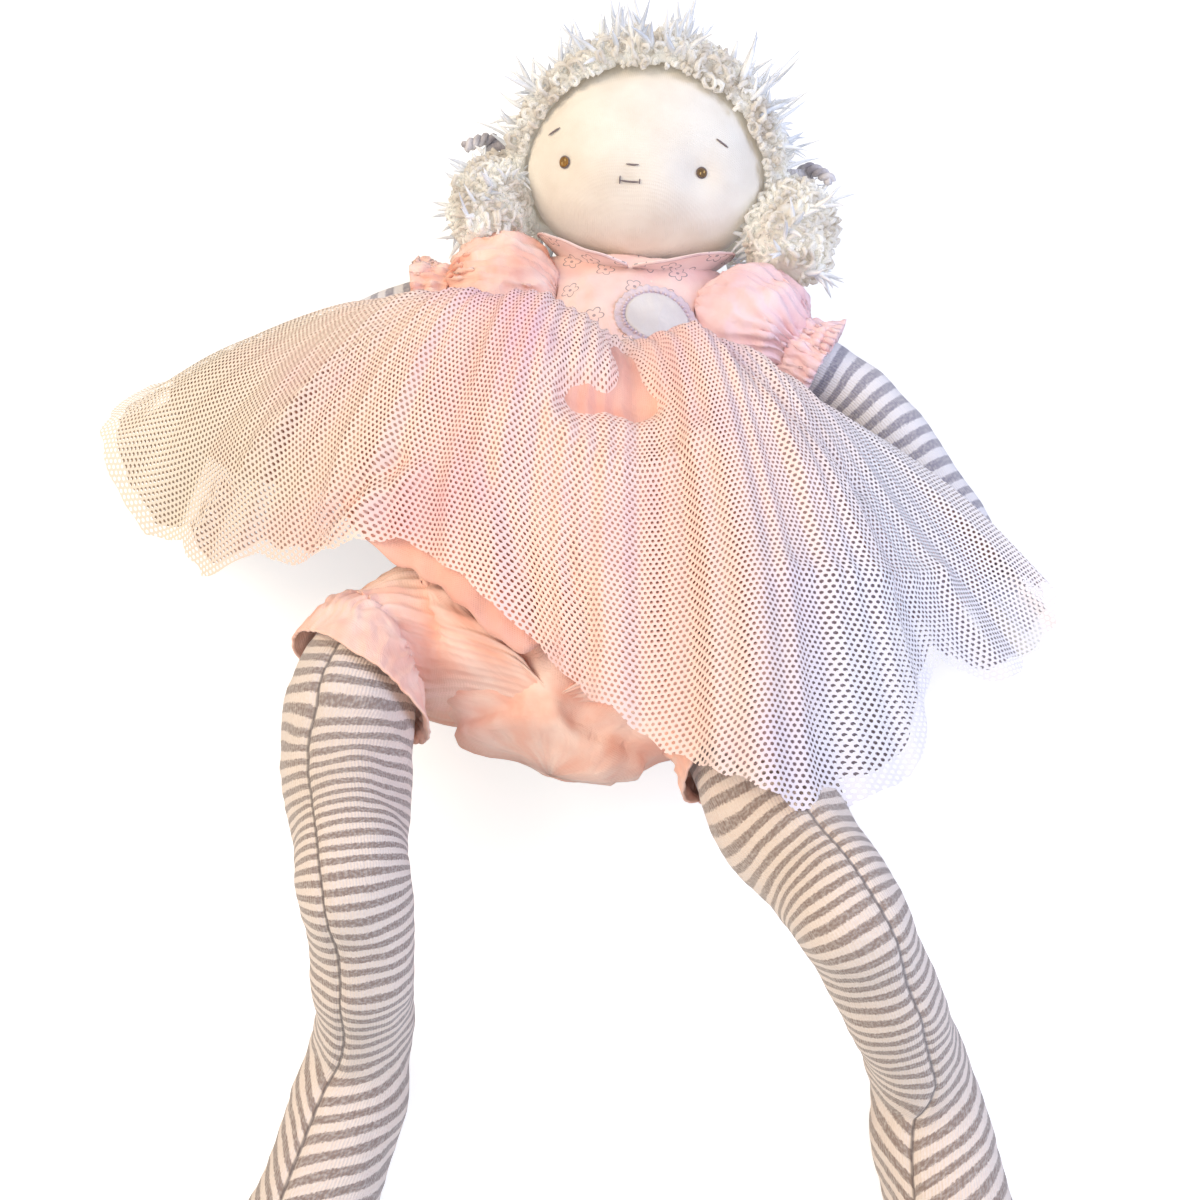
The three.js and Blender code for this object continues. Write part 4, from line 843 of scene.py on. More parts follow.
@dataclass
class Face:
    """Stuffed calico head with its embroidered face."""

    half_width: float = 45.0
    half_depth: float = 38.0
    crown: float = 43.0
    chin: float = 31.5
    shift: float = -2.5
    eye_spacing: float = 52.0
    eye_drop: float = 5.3
    brow_spacing: float = 61.0
    brow_rise: float = 6.2
    nose_drop: float = 7.0
    mouth_drop: float = 12.3

    def depth(self, across: float, up: float) -> float:
        """Return how far the face stands in front of the head's middle."""
        rise = up / (self.crown if up > 0 else self.chin)
        return self.half_depth * math.sqrt(max(0.0, 1 - (across / self.half_width) ** 2 - rise**2))

    def normal(self, across: float, up: float) -> Array:
        """Return the way the face looks at a place on it."""
        tall = self.crown if up > 0 else self.chin
        front = self.depth(across, up)
        slope = vec(across / self.half_width**2, 0, 0) + HEAD_UP * (up / tall**2)
        return unit(slope + HEAD_FRONT * (front / self.half_depth**2))

    def dimples(self) -> list[tuple[float, float, float, float]]:
        """Return where the face is drawn in: across, up, radius and depth."""
        half, low = self.eye_spacing / 2, -self.eye_drop
        eyes = [(self.shift + side.value * half, low - 0.6, 4.2, 1.5) for side in Side]
        under = [(self.shift + side.value * (half - 2), low - 5.0, 7.0, 1.0) for side in Side]
        broad = (self.shift + half - 2, low + 1.0, 9.5, 2.8)
        nose = (self.shift, -self.nose_drop + 1, 7, 0.7)
        mouth = (self.shift - 1, -self.mouth_drop - 0.5, 4.5, 0.5)
        return [*eyes, *under, broad, nose, mouth]

    def on_skin(self, across: float, up: float, proud: float) -> Array:
        """Return the place that stands so far off the drawn-in face."""
        sunk = 0.0
        for x, y, radius, depth in self.dimples():
            sunk += depth * math.exp(-((across - x) ** 2 + (up - y) ** 2) / radius**2)
        return on_head(across, up, self.depth(across, up)) + self.normal(across, up) * (proud - sunk)

    def head_shape(self) -> Shape:
        """Return the head, drawn in at the eyes and mouth."""
        bands = 84
        rings = []
        for band in range(1, bands):
            fall = band / bands * math.pi
            up = math.cos(fall) * (self.crown if fall < math.pi / 2 else self.chin)
            wide = math.sin(fall)
            size = self.half_width * wide, self.half_depth * wide
            rings.append(hoop(on_head(0, up, 0), ACROSS, HEAD_FRONT, spread(120), *size))
        shape = skinned(rings, capped=True)
        local = shape.points - HEAD_MIDDLE
        across, up, front = local[:, 0], local @ HEAD_UP, local @ HEAD_FRONT
        lift = np.zeros(len(local))
        for x, y, radius, depth in self.dimples():
            near = ((across - x) ** 2 + (up - y) ** 2) / radius**2
            lift -= np.where(front > 0, depth * np.exp(-near), 0)
        shape.lift(lift)
        shape.crumple(0.5, (16, 16, 16), 21.0).crumple(0.16, (5, 5, 5), 5.0)
        return shape.kept_out_of(NECK, 14.6)

    def laid_on(
        self, across: float, up: float, reach: Sequence[tuple[float, float]], radius: float, proud: float
    ) -> Shape:
        """Return a thread laid on the face.

        Args:
            across: its middle, across the face from the head's middle.
            up: its middle, up from the head's middle.
            reach: its path as steps across and up from its middle.
            radius: half the thread's thickness.
            proud: how far its middle line stands off the plain face.

        Returns:
            The thread's shape.
        """
        path = []
        for step_across, step_up in reach:
            path.append(self.on_skin(across + step_across, up + step_up, proud))
        line = Line.through(path, 16)
        points = np.array([line.at(share) for share in np.linspace(0, 1, 9)])
        taper = [0.35, 0.8, 1, 1, 1, 1, 1, 0.8, 0.35]
        return tube_along(points, [radius * share for share in taper], 8)

    def eye(self, side: Side) -> None:
        """Make one embroidered eye: satin stitches side by side over a low pad."""
        across = self.shift + side.value * self.eye_spacing / 2
        rows = []
        for row, half in ((-1.35, 1.15), (-0.8, 1.6), (-0.27, 1.75), (0.27, 1.75), (0.8, 1.6), (1.35, 1.15)):
            rise = 0.75 + 0.25 * math.cos(row)
            rows.append(self.laid_on(across, -self.eye_drop, [(row, -half), (row, 0), (row, half)], 0.36, rise))
        finish = BROWN_THREAD if side is Side.LEFT else AMBER_THREAD
        make_piece(f"embroidered_eye_{side.word}", joined(rows), finish, "head", [f"eye_{side.word}"])
        rim = [(1.75 * math.cos(turn), 1.95 * math.sin(turn)) for turn in np.linspace(0, TURN, 25)]
        path = []
        for step_across, step_up in rim:
            path.append(self.on_skin(across + step_across, -self.eye_drop + step_up, 0.5))
        outline = tube_along(np.array(path), [0.3] * len(path), 6, capped=False)
        # painted highlight: two pale stitches on each eye stand in for glints of light
        dash, spots = [(0, -0.5), (0, 0), (0, 0.5)], ((0.7, 0.5), (-0.5, -0.4))
        glints = [self.laid_on(across + x, -self.eye_drop + y, dash, 0.3, 1.15) for x, y in spots]
        make_piece(f"eye_rim_{side.word}", outline, GREY_THREAD, "head")
        make_piece(f"eye_centre_{side.word}", joined(glints), GLINT_THREAD, "head")

    def build(self) -> None:
        """Make the head and its stitches."""
        head = make_piece("stuffed_head", self.head_shape(), CALICO_SKIN, "head", ["head"])
        for side in Side:
            self.eye(side)
            reach = [(-side.value * step, 0.4 * step + 0.3) for step in (-2.2, 0, 2.2)]
            brow = self.laid_on(self.shift + side.value * self.brow_spacing / 2, self.brow_rise, reach, 0.33, 0.3)
            make_piece(f"brow_thread_{side.word}", brow, GREY_THREAD, "head", [f"brow_{side.word}"])
        nose = self.laid_on(self.shift, -self.nose_drop, [(-2.3, 0.1), (0, 0), (2.3, 0.15)], 0.3, 0.3)
        make_piece("nose_thread", nose, GREY_THREAD, "head", ["nose_stitch"])
        mouth = self.laid_on(self.shift - 0.4, -self.mouth_drop, [(-3.6, 0.2), (0, -0.1), (3.4, 0.1)], 0.3, 0.3)
        ticks = [
            self.laid_on(self.shift - 4.0, -self.mouth_drop + 0.3, [(0, 1.3), (0, 0), (0.1, -1.2)], 0.26, 0.35),
            self.laid_on(self.shift + 3.1, -self.mouth_drop + 0.2, [(0, 0.9), (0, 0), (0, -0.7)], 0.24, 0.35),
        ]
        make_piece("mouth_thread", joined([mouth, *ticks]), GREY_THREAD, "head", ["mouth_stitch"])


def scattered(chance: random.Random) -> Array:
    """Return a random vector, which may point any way."""
    return vec(chance.gauss(0, 1), chance.gauss(0, 1), chance.gauss(0, 1))


@dataclass
class Hair:
    """Looped yarn on the head and in two side bunches, with glossy eyelash ends."""

    seed: int = 11
    thickness: float = 9.0
    back_thickness: float = 11.0
    ear_drop: float = 12.0
    nape_drop: float = 19.0
    hairline_slope: float = 25 / 39
    tie_place: Array = field(default_factory=lambda: vec(57, 233.2, 47))
    bunch_length: float = 42.0

    def head_places(self, count: int, thickness: float, spill: float = 0.0) -> list[tuple[Array, Array]]:
        """Spread places evenly over the part of the head that hair covers.

        Args:
            count: how many places a whole head would have.
            thickness: how far out from the scalp they lie.
            spill: how far in front of the hairline they may lie.

        Returns:
            Each place and the way out from it.
        """
        places = []
        for index in range(count):
            height = 1 - 2 * (index + 0.5) / count
            ring = math.sqrt(1 - height * height)
            turn = GOLDEN_ANGLE * index
            across, front = ring * math.cos(turn), ring * math.sin(turn)
            depth = thickness + (self.back_thickness - self.thickness if front < 0 else 0)
            x = across * (45 + thickness)
            up = height * (43 + thickness * 1.35 if height > 0 else 31.5 + thickness)
            out = front * (38 + depth)
            if out < self.hairline_slope * (up + self.ear_drop) + spill and up > -self.nape_drop:
                tall = 43 if height > 0 else 31.5
                normal = vec(across / 45, 0, 0) + HEAD_UP * height / tall + HEAD_FRONT * front / 38
                places.append((on_head(x, up, out), unit(normal)))
        return places

    def curl(self, chance: random.Random, place: Array, out: Array, size: float, thick: float) -> Shape:
        """Return one small loop of yarn, rooted at a place."""
        any_way = unit(scattered(chance))
        side_way = unit(np.cross(out, any_way))
        along = unit(np.cross(out, side_way))
        turns = chance.uniform(0.8, 1.7)
        reach = chance.uniform(-0.9, 0.9) * size
        start = chance.uniform(0, TURN)
        steps = np.linspace(0, 1, 9)[:, None]
        angle = start + steps * turns * TURN
        radius = size * (0.55 + 0.25 * math.sin(start * 3))
        path = place + out * (np.sin(angle) * radius * 0.9 + steps * size * 0.3)
        path = path + side_way * np.cos(angle) * radius + along * reach * (steps - 0.5)
        radii = [thick * (0.75 + 0.35 * math.sin(start + 2.1 * step)) for step in range(9)]
        return tube_along(path, radii, 4, capped=False)

    def tuft(self, chance: random.Random, place: Array, out: Array, length: float) -> list[Shape]:
        """Return a few glossy tapered ends that stand out of the yarn together."""
        lean = unit(out + 0.6 * unit(scattered(chance)))
        ends = []
        for _ in range(chance.choice((1, 2, 2, 3))):
            own = unit(lean + 0.28 * scattered(chance))
            bend = unit(np.cross(own, scattered(chance)))
            reach = length * chance.uniform(0.6, 1.1)
            steps = np.linspace(0, 1, 6)[:, None]
            path = place + own * steps * reach + bend * chance.uniform(0.1, 0.3) * reach * steps**2
            thick = chance.uniform(0.95, 1.5)
            radii = [thick * share for share in (0.5, 0.75, 0.8, 0.65, 0.4, 0.06)]
            ends.append(tube_along(path, radii, 4, capped=False))
        return ends

    def cap(self) -> None:
        """Make the yarn cap: a lumpy ground, its loops and its ends."""
        chance = random.Random(self.seed)
        bands, angles = 80, spread(110)
        deep = np.where(np.sin(angles) > 0, 43, 46)[:, None]
        rings = []
        for band in range(1, bands):
            fall = band / bands * math.pi
            up, wide = math.cos(fall) * (50 if fall < math.pi / 2 else 36.5), math.sin(fall)
            rings.append(hoop(on_head(0, up, 0), ACROSS, HEAD_FRONT, angles, 50 * wide, deep * wide))
        shape = skinned(rings, capped=True)
        shape.facing_out().crumple(2.6, (5, 5, 5), 2.0).crumple(1.2, (2.2, 2.2, 2.2), 7.0)

        def bare(corners: Array) -> bool:
            local = corners - HEAD_MIDDLE
            up, front = local @ HEAD_UP, local @ HEAD_FRONT
            return bool(np.all((front > self.hairline_slope * (up + self.ear_drop) - 1.0) | (up < -self.nape_drop)))

        ground = make_piece("yarn_ground", shape.without(bare).above_floor(), BOUCLE, "head", ["hair_cap"])
        thicken(ground, 3.0)
        loops = []
        for place, out in self.head_places(2000, 6.5, 3.0):
            loops.append(self.curl(chance, place, out, chance.uniform(2.2, 4.6), 1.2))
        for place, out in self.head_places(5200, 3.4, 4.5):
            local = place - HEAD_MIDDLE
            hairline = self.hairline_slope * (float(local @ HEAD_UP) + self.ear_drop)
            if float(local @ HEAD_FRONT) > hairline - 3.0 and chance.random() < 0.6:
                loops.append(self.curl(chance, place, out, chance.uniform(1.6, 3.2), 0.95))
        make_piece("yarn_loops", joined(loops).above_floor(), BOUCLE, "head")
        ends = []
        for place, out in self.head_places(760, 6.5, 2.0):
            if noise.noise(Vector(place / 14.0)) > -0.15:
                ends += self.tuft(chance, place, out, chance.uniform(8, 21))
        make_piece("eyelash_ends", joined(ends).above_floor(), EYELASH_YARN, "head")

    def bunch(self, side: Side) -> None:
        """Make one side bunch: its ground, loops and ends."""
        chance = random.Random(self.seed + 5 + side.value)
        radius = 17.5 if side is Side.LEFT else 15.0
        table = eased_table([(0, 0.3), (0.1, 0.52), (0.3, 0.88), (0.55, 1), (0.8, 0.86), (0.94, 0.56), (1, 0.3)])
        top = mirrored(side, self.tie_place) - vec(0, 3.2, 0)
        rings = []
        for share in np.linspace(0, 1, 34):
            wide = (radius - 2) * table(share)[0]
            rings.append(hoop(top - vec(0, self.bunch_length * share, 0), ACROSS, UP, spread(48), wide, wide))
        shape = skinned(rings, capped=True).facing_out().crumple(2.4, (4.5, 4.5, 4.5), 4.0 + side.value)
        shape.crumple(1.0, (2, 2, 2), 9.0).kept_out_of(mirrored(side, SHOULDER), SLEEVE_RADIUS + 0.6).above_floor()
        body = f"bunch_{side.word}"
        ground = make_piece(f"bunch_ground_{side.word}", shape, BOUCLE, body, [body])
        loops, ends = [], []
        count = 330
        for index in range(count):
            share = (index + 0.5) / count
            wide = (radius - 1.8) * table(share)[0]
            turn = GOLDEN_ANGLE * index
            out = unit(vec(math.cos(turn), -0.9 * (share - 0.45), math.sin(turn)))
            round_it = vec(wide * math.cos(turn), -self.bunch_length * share, wide * math.sin(turn))
            place = top + round_it
            if np.linalg.norm(place - mirrored(side, SHOULDER)) < SLEEVE_RADIUS + 3 or place[2] < 5:
                continue
            loops.append(self.curl(chance, place, out, chance.uniform(2.2, 3.8), 1.1))
            if index % 7 == 0:
                ends += self.tuft(chance, place, out, chance.uniform(5, 13))
        make_piece(f"bunch_loops_{side.word}", joined(loops).above_floor(), BOUCLE, body)
        make_piece(f"bunch_ends_{side.word}", joined(ends).above_floor(), EYELASH_YARN, body)

    def tie(self, side: Side) -> None:
        """Make the twisted cord round the top of a bunch, with a loop left standing."""
        centre = mirrored(side, self.tie_place)
        strands = []
        for strand in range(2):
            turns = np.linspace(0, TURN, 73)
            phase = 17 * turns + strand * math.pi
            wide = 6.2 + 1.1 * np.cos(phase)
            ring = centre + np.stack([wide * np.cos(turns), 1.1 * np.sin(phase), wide * np.sin(turns)], axis=1)
            strands.append(tube_along(ring, [1.25] * len(ring), 7, capped=False))
            stub = ((1, 3, 4), (4, 2, 7.5), (8.5, -1, 8.5), (13, -4.5, 8))
            loop = Line.through([centre + mirrored(side, vec(*place)) for place in stub], 80)
            path = []
            for t in np.linspace(0, 1, 60):
                heading = loop.heading(t)
                side_way = unit(np.cross(heading, UP))
                over = np.cross(side_way, heading)
                angle = 2.6 * TURN * t + strand * math.pi
                path.append(loop.at(t) + 1.15 * (math.cos(angle) * side_way + math.sin(angle) * over))
            strands.append(tube_along(np.array(path), [1.3] * 60, 7))
        word = side.word
        make_piece(f"twisted_tie_{word}", joined(strands), TIE_CORD, f"bunch_{word}", [f"hair_tie_{word}"])

    def build(self) -> None:
        """Make all the hair."""
        self.cap()
        for side in Side:
            self.bunch(side)
            self.tie(side)


def gathered(shares: Array, turns: Array, count: int, depth: float, seed: float) -> Array:
    """Return soft gathers round a band of cloth.

    Args:
        shares: how strong the gathers are, ring by ring.
        turns: the place of each column round the band, from 0 to 1.
        count: about how many gathers there are.
        depth: their depth in millimetres.
        seed: shifts the pattern.

    Returns:
        How far each point is raised, ring by ring.
    """
    lifts = []
    for row, share in enumerate(shares):
        line = []
        for turn in turns:
            wander = noise.noise(Vector((math.cos(turn * TURN) * 1.7 + seed, math.sin(turn * TURN) * 1.7, row * 0.045)))
            size = 0.65 + 0.7 * noise.noise(Vector((math.cos(turn * TURN) * 2.3, seed, math.sin(turn * TURN) * 2.3)))
            wave = math.sin(TURN * turn * count + 5.0 * wander)
            line.append(share * depth * size * (1 - 2 * abs(wave) ** 1.3) / 1.3)
        lifts.append(line)
    return np.array(lifts)


@dataclass
class Dress:
    """Printed bodice with its waistband, flat collar and badge."""

    start: float = 0.73 * BODY_LENGTH
    end: float = 0.965 * BODY_LENGTH
    band_width: float = 7.0
    collar_inner: float = 19.0
    collar_front: float = 30.0
    collar_side: float = 40.0
    collar_turns: tuple[float, float] = (3.0, 104.0)
    badge_place: tuple[float, float] = (13.0, 153.0)

    def bodice(self) -> None:
        """Make the bodice, dented where the sleeves are set in."""
        stations = np.linspace(self.start + 0.3, self.end + 18.0, 70)
        rings = body_rings(stations, 1.5, 180)
        shoulders = eased_table([
            (0, 0, 0, 0), (169, 33.5, 25, 27), (178, 36, 22, 27),
            (186, 38, 20, 27), (192, 38, 18, 26), (196, 34, 12, 25),
        ])
        for ring, station in zip(rings, stations):
            share = float(np.clip((station - 165) / 8, 0, 1))
            width, depth, height = shoulders(station)
            angles = spread(180)
            square = np.sign(np.sin(angles)) * np.abs(np.sin(angles)) ** 0.55
            wide = np.stack([width * np.cos(angles), np.full(180, station), height + depth * square], axis=1)
            ring += (wide - ring) * share
        shape = skinned(rings, 225)
        shape.facing_out().crumple(1.0, (9, 14, 9), 5.5).crumple(0.55, (4, 9, 4), 12.0)
        shape.kept_out_of(NECK, 14.8)
        for side in Side:
            shape.kept_out_of(mirrored(side, SHOULDER), SLEEVE_RADIUS + 0.4)
        bodice = make_piece("printed_bodice", shape.above_floor(0.0), BODICE_PRINT, "torso", ["bodice"])
        thicken(bodice, 0.5)

    def waistband(self) -> None:
        """Make the gathered band that joins the skirt to the bodice."""
        stations = np.linspace(self.start - self.band_width - 0.2, self.start - 0.4, 12)
        rings = body_rings(stations, 2.4, 240)
        shape = skinned(rings, 232)
        shape.facing_out()
        turns = np.arange(240) / 240
        shape.lift(gathered(np.full(12, 1.0), turns, 60, 0.45, 2.0).ravel())
        band = make_piece("gathered_waistband", shape, PEACH_LINING, "torso", ["waistband"])
        thicken(band, 1.2)

    def collar(self, side: Side) -> None:
        """Make one half of the collar, with its stitched edge."""
        breadth = eased_table([(0, 0.68), (0.15, 0.9), (0.6, 1), (0.9, 0.8), (1, 0.5)])
        rings, edge = [], []
        for share in np.linspace(0, 1, 60):
            turn = math.radians(self.collar_turns[0] + (self.collar_turns[1] - self.collar_turns[0]) * share)
            full = self.collar_front + (self.collar_side - self.collar_front) * math.sin(turn)
            outer = self.collar_inner + (full - self.collar_inner) * breadth(share)[0]
            rise = 13 * math.sin(turn) ** 2
            row = []
            for step in np.linspace(0, 1, 14):
                radius = self.collar_inner + (outer - self.collar_inner) * step
                up = 3 + rise * (step**1.25) - 0.9 * max(0.0, step - 0.8) * 5 * (1 - math.sin(turn))
                up += 0.7 * step * noise.noise(Vector((share * 6, step * 1.5, side.value * 3.0)))
                place = NECK + vec(side.value * radius * math.sin(turn), 0, 0) + HEAD_UP * up
                row.append(place + HEAD_FRONT * radius * math.cos(turn))
            rings.append(row)
            edge.append(row[-1])
        rings = np.array(rings)
        along = np.concatenate([[0.0], np.cumsum(np.linalg.norm(np.diff(rings[:, 7], axis=0), axis=1))])
        steps = np.cumsum(np.linalg.norm(np.diff(rings, axis=1), axis=2), axis=1)
        across = np.concatenate([np.zeros((60, 1)), steps], axis=1)
        cloth = np.stack([np.repeat(along[:, None], 14, axis=1) * MM + 0.2, across * MM + 0.01], axis=2)
        shape = loft(rings, cloth, wraps=False)
        name, node = f"collar_half_{side.word}", f"collar_{side.word}"
        collar = make_piece(name, shape, COLLAR_PRINT, "torso", [node])
        thicken(collar, 0.9)
        stitched = np.array([rings[0, 3], rings[0, 8], *edge, rings[-1, 8], rings[-1, 3]])
        line = Line(stitched)
        path = np.array([line.at(share) + HEAD_UP * 0.15 for share in np.linspace(0, 1, 110)])
        make_piece(f"collar_edge_{side.word}", tube_along(path, [0.45] * 110, 6), PINK_THREAD, "torso")

    def chest_height(self, across: float, station: float) -> float:
        """Return how high the bodice stands at a place on the chest."""
        width, depth, height = body_section(station)
        reach = min(1.0, abs(across) / (width + 1.6))
        return height + (depth + 1.6) * math.sqrt(1 - reach**2)

    def badge(self) -> None:
        """Make the blank woven badge with its frilled braid."""
        across, station = self.badge_place
        rings, frill = [], []
        angles = spread(96)

        def on_chest(radius: float, angle: float, proud: float) -> Array:
            x, y = across + radius * math.cos(angle), station + radius * math.sin(angle)
            return vec(x, y, self.chest_height(x, y) + proud)

        rim = ((11.3, 0.35), (11.5, 0.9), (11.2, 1.35), (10.4, 1.5), (9.6, 1.35), (9.2, 1.3))
        for radius, proud in (*rim, (6, 1.45), (3, 1.55), (0.4, 1.6)):
            rings.append([on_chest(radius, angle, proud) for angle in angles])
        shape = skinned(rings, capped=True).crumple(0.3, (3, 3, 3), 6.0)
        badge = make_piece("blank_badge", shape, BADGE_CLOTH, "torso", ["badge"])
        for step, radius in enumerate(np.linspace(11.4, 15.4, 9)):
            share = step / 8
            waves = 0.9 + share * (0.55 * np.sin(30 * angles) + 0.25 * np.sin(13 * angles + 1))
            frill.append([on_chest(radius, angle, proud) for angle, proud in zip(angles, waves)])
        frill_shape = skinned(frill)
        braid = make_piece("frilled_braid", frill_shape, BADGE_BRAID, "torso", ["badge_frill"])
        thicken(braid, 0.5)
        beads = []
        for bead in range(44):
            angle = bead / 44 * TURN
            centre = on_chest(12.3, angle, 1.35)
            ring_way = unit(on_chest(12.3, angle + 0.05, 1.35) - centre)
            path = np.array([centre + ring_way * step for step in (-0.62, -0.4, 0, 0.4, 0.62)])
            beads.append(tube_along(path, [0.15, 0.45, 0.62, 0.45, 0.15], 6))
        make_piece("beaded_edge", joined(beads), BADGE_BRAID, "torso")

    def build(self) -> None:
        """Make the dress's bodice and what is sewn to it."""
        self.bodice()
        self.waistband()
        for side in Side:
            self.collar(side)
        self.badge()


@dataclass
class Arm:
    """One arm: puffed sleeve with its crinkled frill, striped arm and calico hand."""

    side: Side
    radius: float = 12.0
    wrist: float = 10.0
    hand: float = 11.5
    hand_length: float = 13.0

    def __post_init__(self) -> None:
        """Lay out the arm's centre line."""
        left = self.side is Side.LEFT
        reach = 95.0 if left else 98.0
        shares = (
            [(0.21, -0.1, -0.05), (0.42, -0.2, -0.22), (0.79, -0.6, -0.68), (1, -0.92, -1)]
            if left
            else [(-0.22, 0, -0.12), (-0.45, -0.06, -0.36), (-0.74, -0.2, -0.78), (-1, -0.4, -1)]
        )
        self.pivot = mirrored(self.side, SHOULDER)
        points = [self.pivot] + [self.pivot + vec(x * reach, y * reach, z * 25.0) for x, y, z in shares]
        inward = self.pivot - unit(points[1] - self.pivot) * (SLEEVE_RADIUS - self.radius)
        self.way = unit(points[1] - self.pivot)
        self.line = Line.through([inward, *points])

    def share_at(self, distance: float) -> float:
        """Return the share of the arm at a distance from its shoulder."""
        return (SLEEVE_RADIUS - self.radius + distance) / self.line.length

    def rings(self, shares: Sequence[float], radii: Sequence[float], sides: int, seam: float = 0.0) -> Array:
        """Return rings square to the arm, whose first column faces the camera, turned by seam."""
        made = []
        for share, radius in zip(shares, radii):
            centre, heading = self.line.at(share), self.line.heading(share)
            toward = toward_camera(centre, heading)
            made.append(hoop(centre, toward, np.cross(heading, toward), spread(sides) + seam, radius, radius))
        return np.array(made)

    @property
    def cotton(self) -> Finish:
        """Return the cotton of its sleeve; on the left a cooler copy, painted light that stands in for the cool light
        on that side.
        """
        return COOL_COTTON if self.side is Side.LEFT else PEACH_COTTON

    def sewn(self, name: str, shape: Shape, finish: Finish, node: str) -> bpy.types.Object:
        """Make a sheet of cloth that rides on the arm.

        Args:
            name: the sheet's name, without its side.
            shape: its mesh.
            finish: its finish.
            node: the CAD node that it stands for, without its side.

        Returns:
            The sheet.
        """
        word = self.side.word
        piece = make_piece(f"{name}_{word}", shape, finish, f"arm_{word}", [f"{node}_{word}"])
        thicken(piece, 0.5)
        return piece

    def sleeve(self) -> None:
        """Make the puffed sleeve, gathered at the armhole and at its mouth."""
        falls = np.linspace(math.pi - 0.12, 0.62, 60)
        first = unit(np.cross(self.way, UP))
        second = np.cross(self.way, first)
        angles = spread(192)
        rings = []
        for fall in falls:
            wide, ahead = SLEEVE_RADIUS * math.sin(fall), SLEEVE_RADIUS * math.cos(fall)
            rings.append(hoop(self.pivot + self.way * ahead, first, second, angles, wide, wide))
        rings = np.array(rings)
        puff = 1.42 if self.side is Side.RIGHT else 1.2
        raised = rings[:, :, 1] - self.pivot[1]
        rings[:, :, 1] = self.pivot[1] + np.where(raised > 0, raised * puff, raised)
        shape = skinned(rings, 150).facing_out()
        shares = 0.6 + 0.9 * np.maximum(0.0, 1 - np.abs(falls - 0.62)) + 0.3 * np.maximum(0.0, falls - 2.0)
        shape.lift(gathered(shares, angles / TURN, 14, 1.9, 3.0 + self.side.value).ravel() - 0.3)
        shape.crumple(2.6, (12, 12, 12), 2.0 + self.side.value).crumple(0.9, (4.5, 4.5, 4.5), 7.0)
        sleeve = self.sewn("puffed_sleeve", shape.above_floor(), self.cotton, "sleeve")

    def frill(self) -> None:
        """Make the elastic in the sleeve's mouth and the crinkled frill beyond it."""
        mouth = SLEEVE_RADIUS * math.cos(math.asin(15 / SLEEVE_RADIUS)) + 1.6
        sides = 200
        turns = np.arange(sides) / sides
        shares = np.linspace(self.share_at(mouth - 1.8), self.share_at(mouth + 3.0), 10)
        band = self.rings(shares, [13.1] * 10, sides)
        band_shape = skinned(band, 84).facing_out()
        band_shape.lift(gathered(np.ones(10), turns, 44, 0.5, 1.0).ravel())
        self.sewn("sleeve_elastic_cover", band_shape, SOFT_ELASTIC, "sleeve_elastic")
        shares = np.linspace(self.share_at(mouth - 2.4), self.share_at(mouth + 9.6), 26)
        radii = [14.0 + 4.0 * ((step / 25) ** 0.7) for step in range(26)]
        ruffle = self.rings(shares, radii, sides)
        shape = skinned(ruffle, 190).facing_out()
        strength = np.linspace(0.15, 1.0, 26)
        shape.lift(gathered(strength, turns, 19, 2.9, 6.0 + self.side.value).ravel())
        shape.crumple(2.4, (4.5, 4.5, 4.5), 4.0).kept_out_of(self.line.at(shares[0]), 13.5)
        frill = self.sewn("crinkled_frill", shape.above_floor(), self.cotton, "sleeve_frill")

    def build(self) -> None:
        """Make the whole arm."""
        side = self.side.word
        steps = 110
        shares = np.linspace(0, 1, steps)
        table = eased_table([(0, self.radius - 0.4), (0.5, self.radius), (1, self.wrist)])
        radii = np.array([table(share)[0] for share in shares])
        ends = np.minimum(shares * self.line.length, (1 - shares) * self.line.length)
        rounding = np.sqrt(np.clip(1 - (1 - np.clip(ends / 7.0, 0, 1)) ** 2, 0.06, 1))
        rings = self.rings(shares, radii * rounding, 72, seam=2.2)
        shape = skinned(rings, capped=True).facing_out().crumple(0.8, (13, 13, 13), 1.0).above_floor()
        arm = make_piece(f"striped_arm_{side}", shape, ARM_JERSEY, f"arm_{side}", [f"arm_{side}"])
        self.sleeve()
        self.frill()
        wrist = self.line.at(1.0)
        heading = self.line.heading(1.0) * vec(1, 1, 0)
        turn = math.radians(-12 if self.side is Side.LEFT else 6)
        cos, sin = math.cos(turn), math.sin(turn)
        turned = vec(heading[0] * cos - heading[1] * sin, heading[0] * sin + heading[1] * cos, 0)
        reach = unit(turned) * self.hand_length
        tip = (wrist + reach) * vec(1, 1, 0) + vec(0, 0, self.hand - 0.5)
        palm = Line.through([wrist, (wrist + tip) / 2, tip], 60)
        rings = []
        for share in np.linspace(-0.16, 1.42, 54):
            body = 8.6 + 0.9 * math.sin(min(1.0, max(0.0, share)) * math.pi / 2)
            far = np.clip((1.42 - share) * self.hand_length / 9.0, 0, 1)
            near = np.clip((share + 0.16) * self.hand_length / 2.5, 0.55, 1)
            radius = body * math.sqrt(max(0.02, 1 - (1 - far) ** 2)) * near
            heading = palm.heading(min(1.0, max(0.0, share)))
            across = unit(np.cross(heading, UP))
            upright = np.cross(across, heading)
            rings.append(hoop(palm.at(share), across, upright, spread(60), radius, radius * 0.92))
        shape = skinned(rings, capped=True).facing_out().crumple(0.7, (9, 9, 9), 3.0).above_floor()
        hand = make_piece(f"calico_hand_{side}", shape, CALICO_SKIN, f"arm_{side}", [f"hand_{side}"])


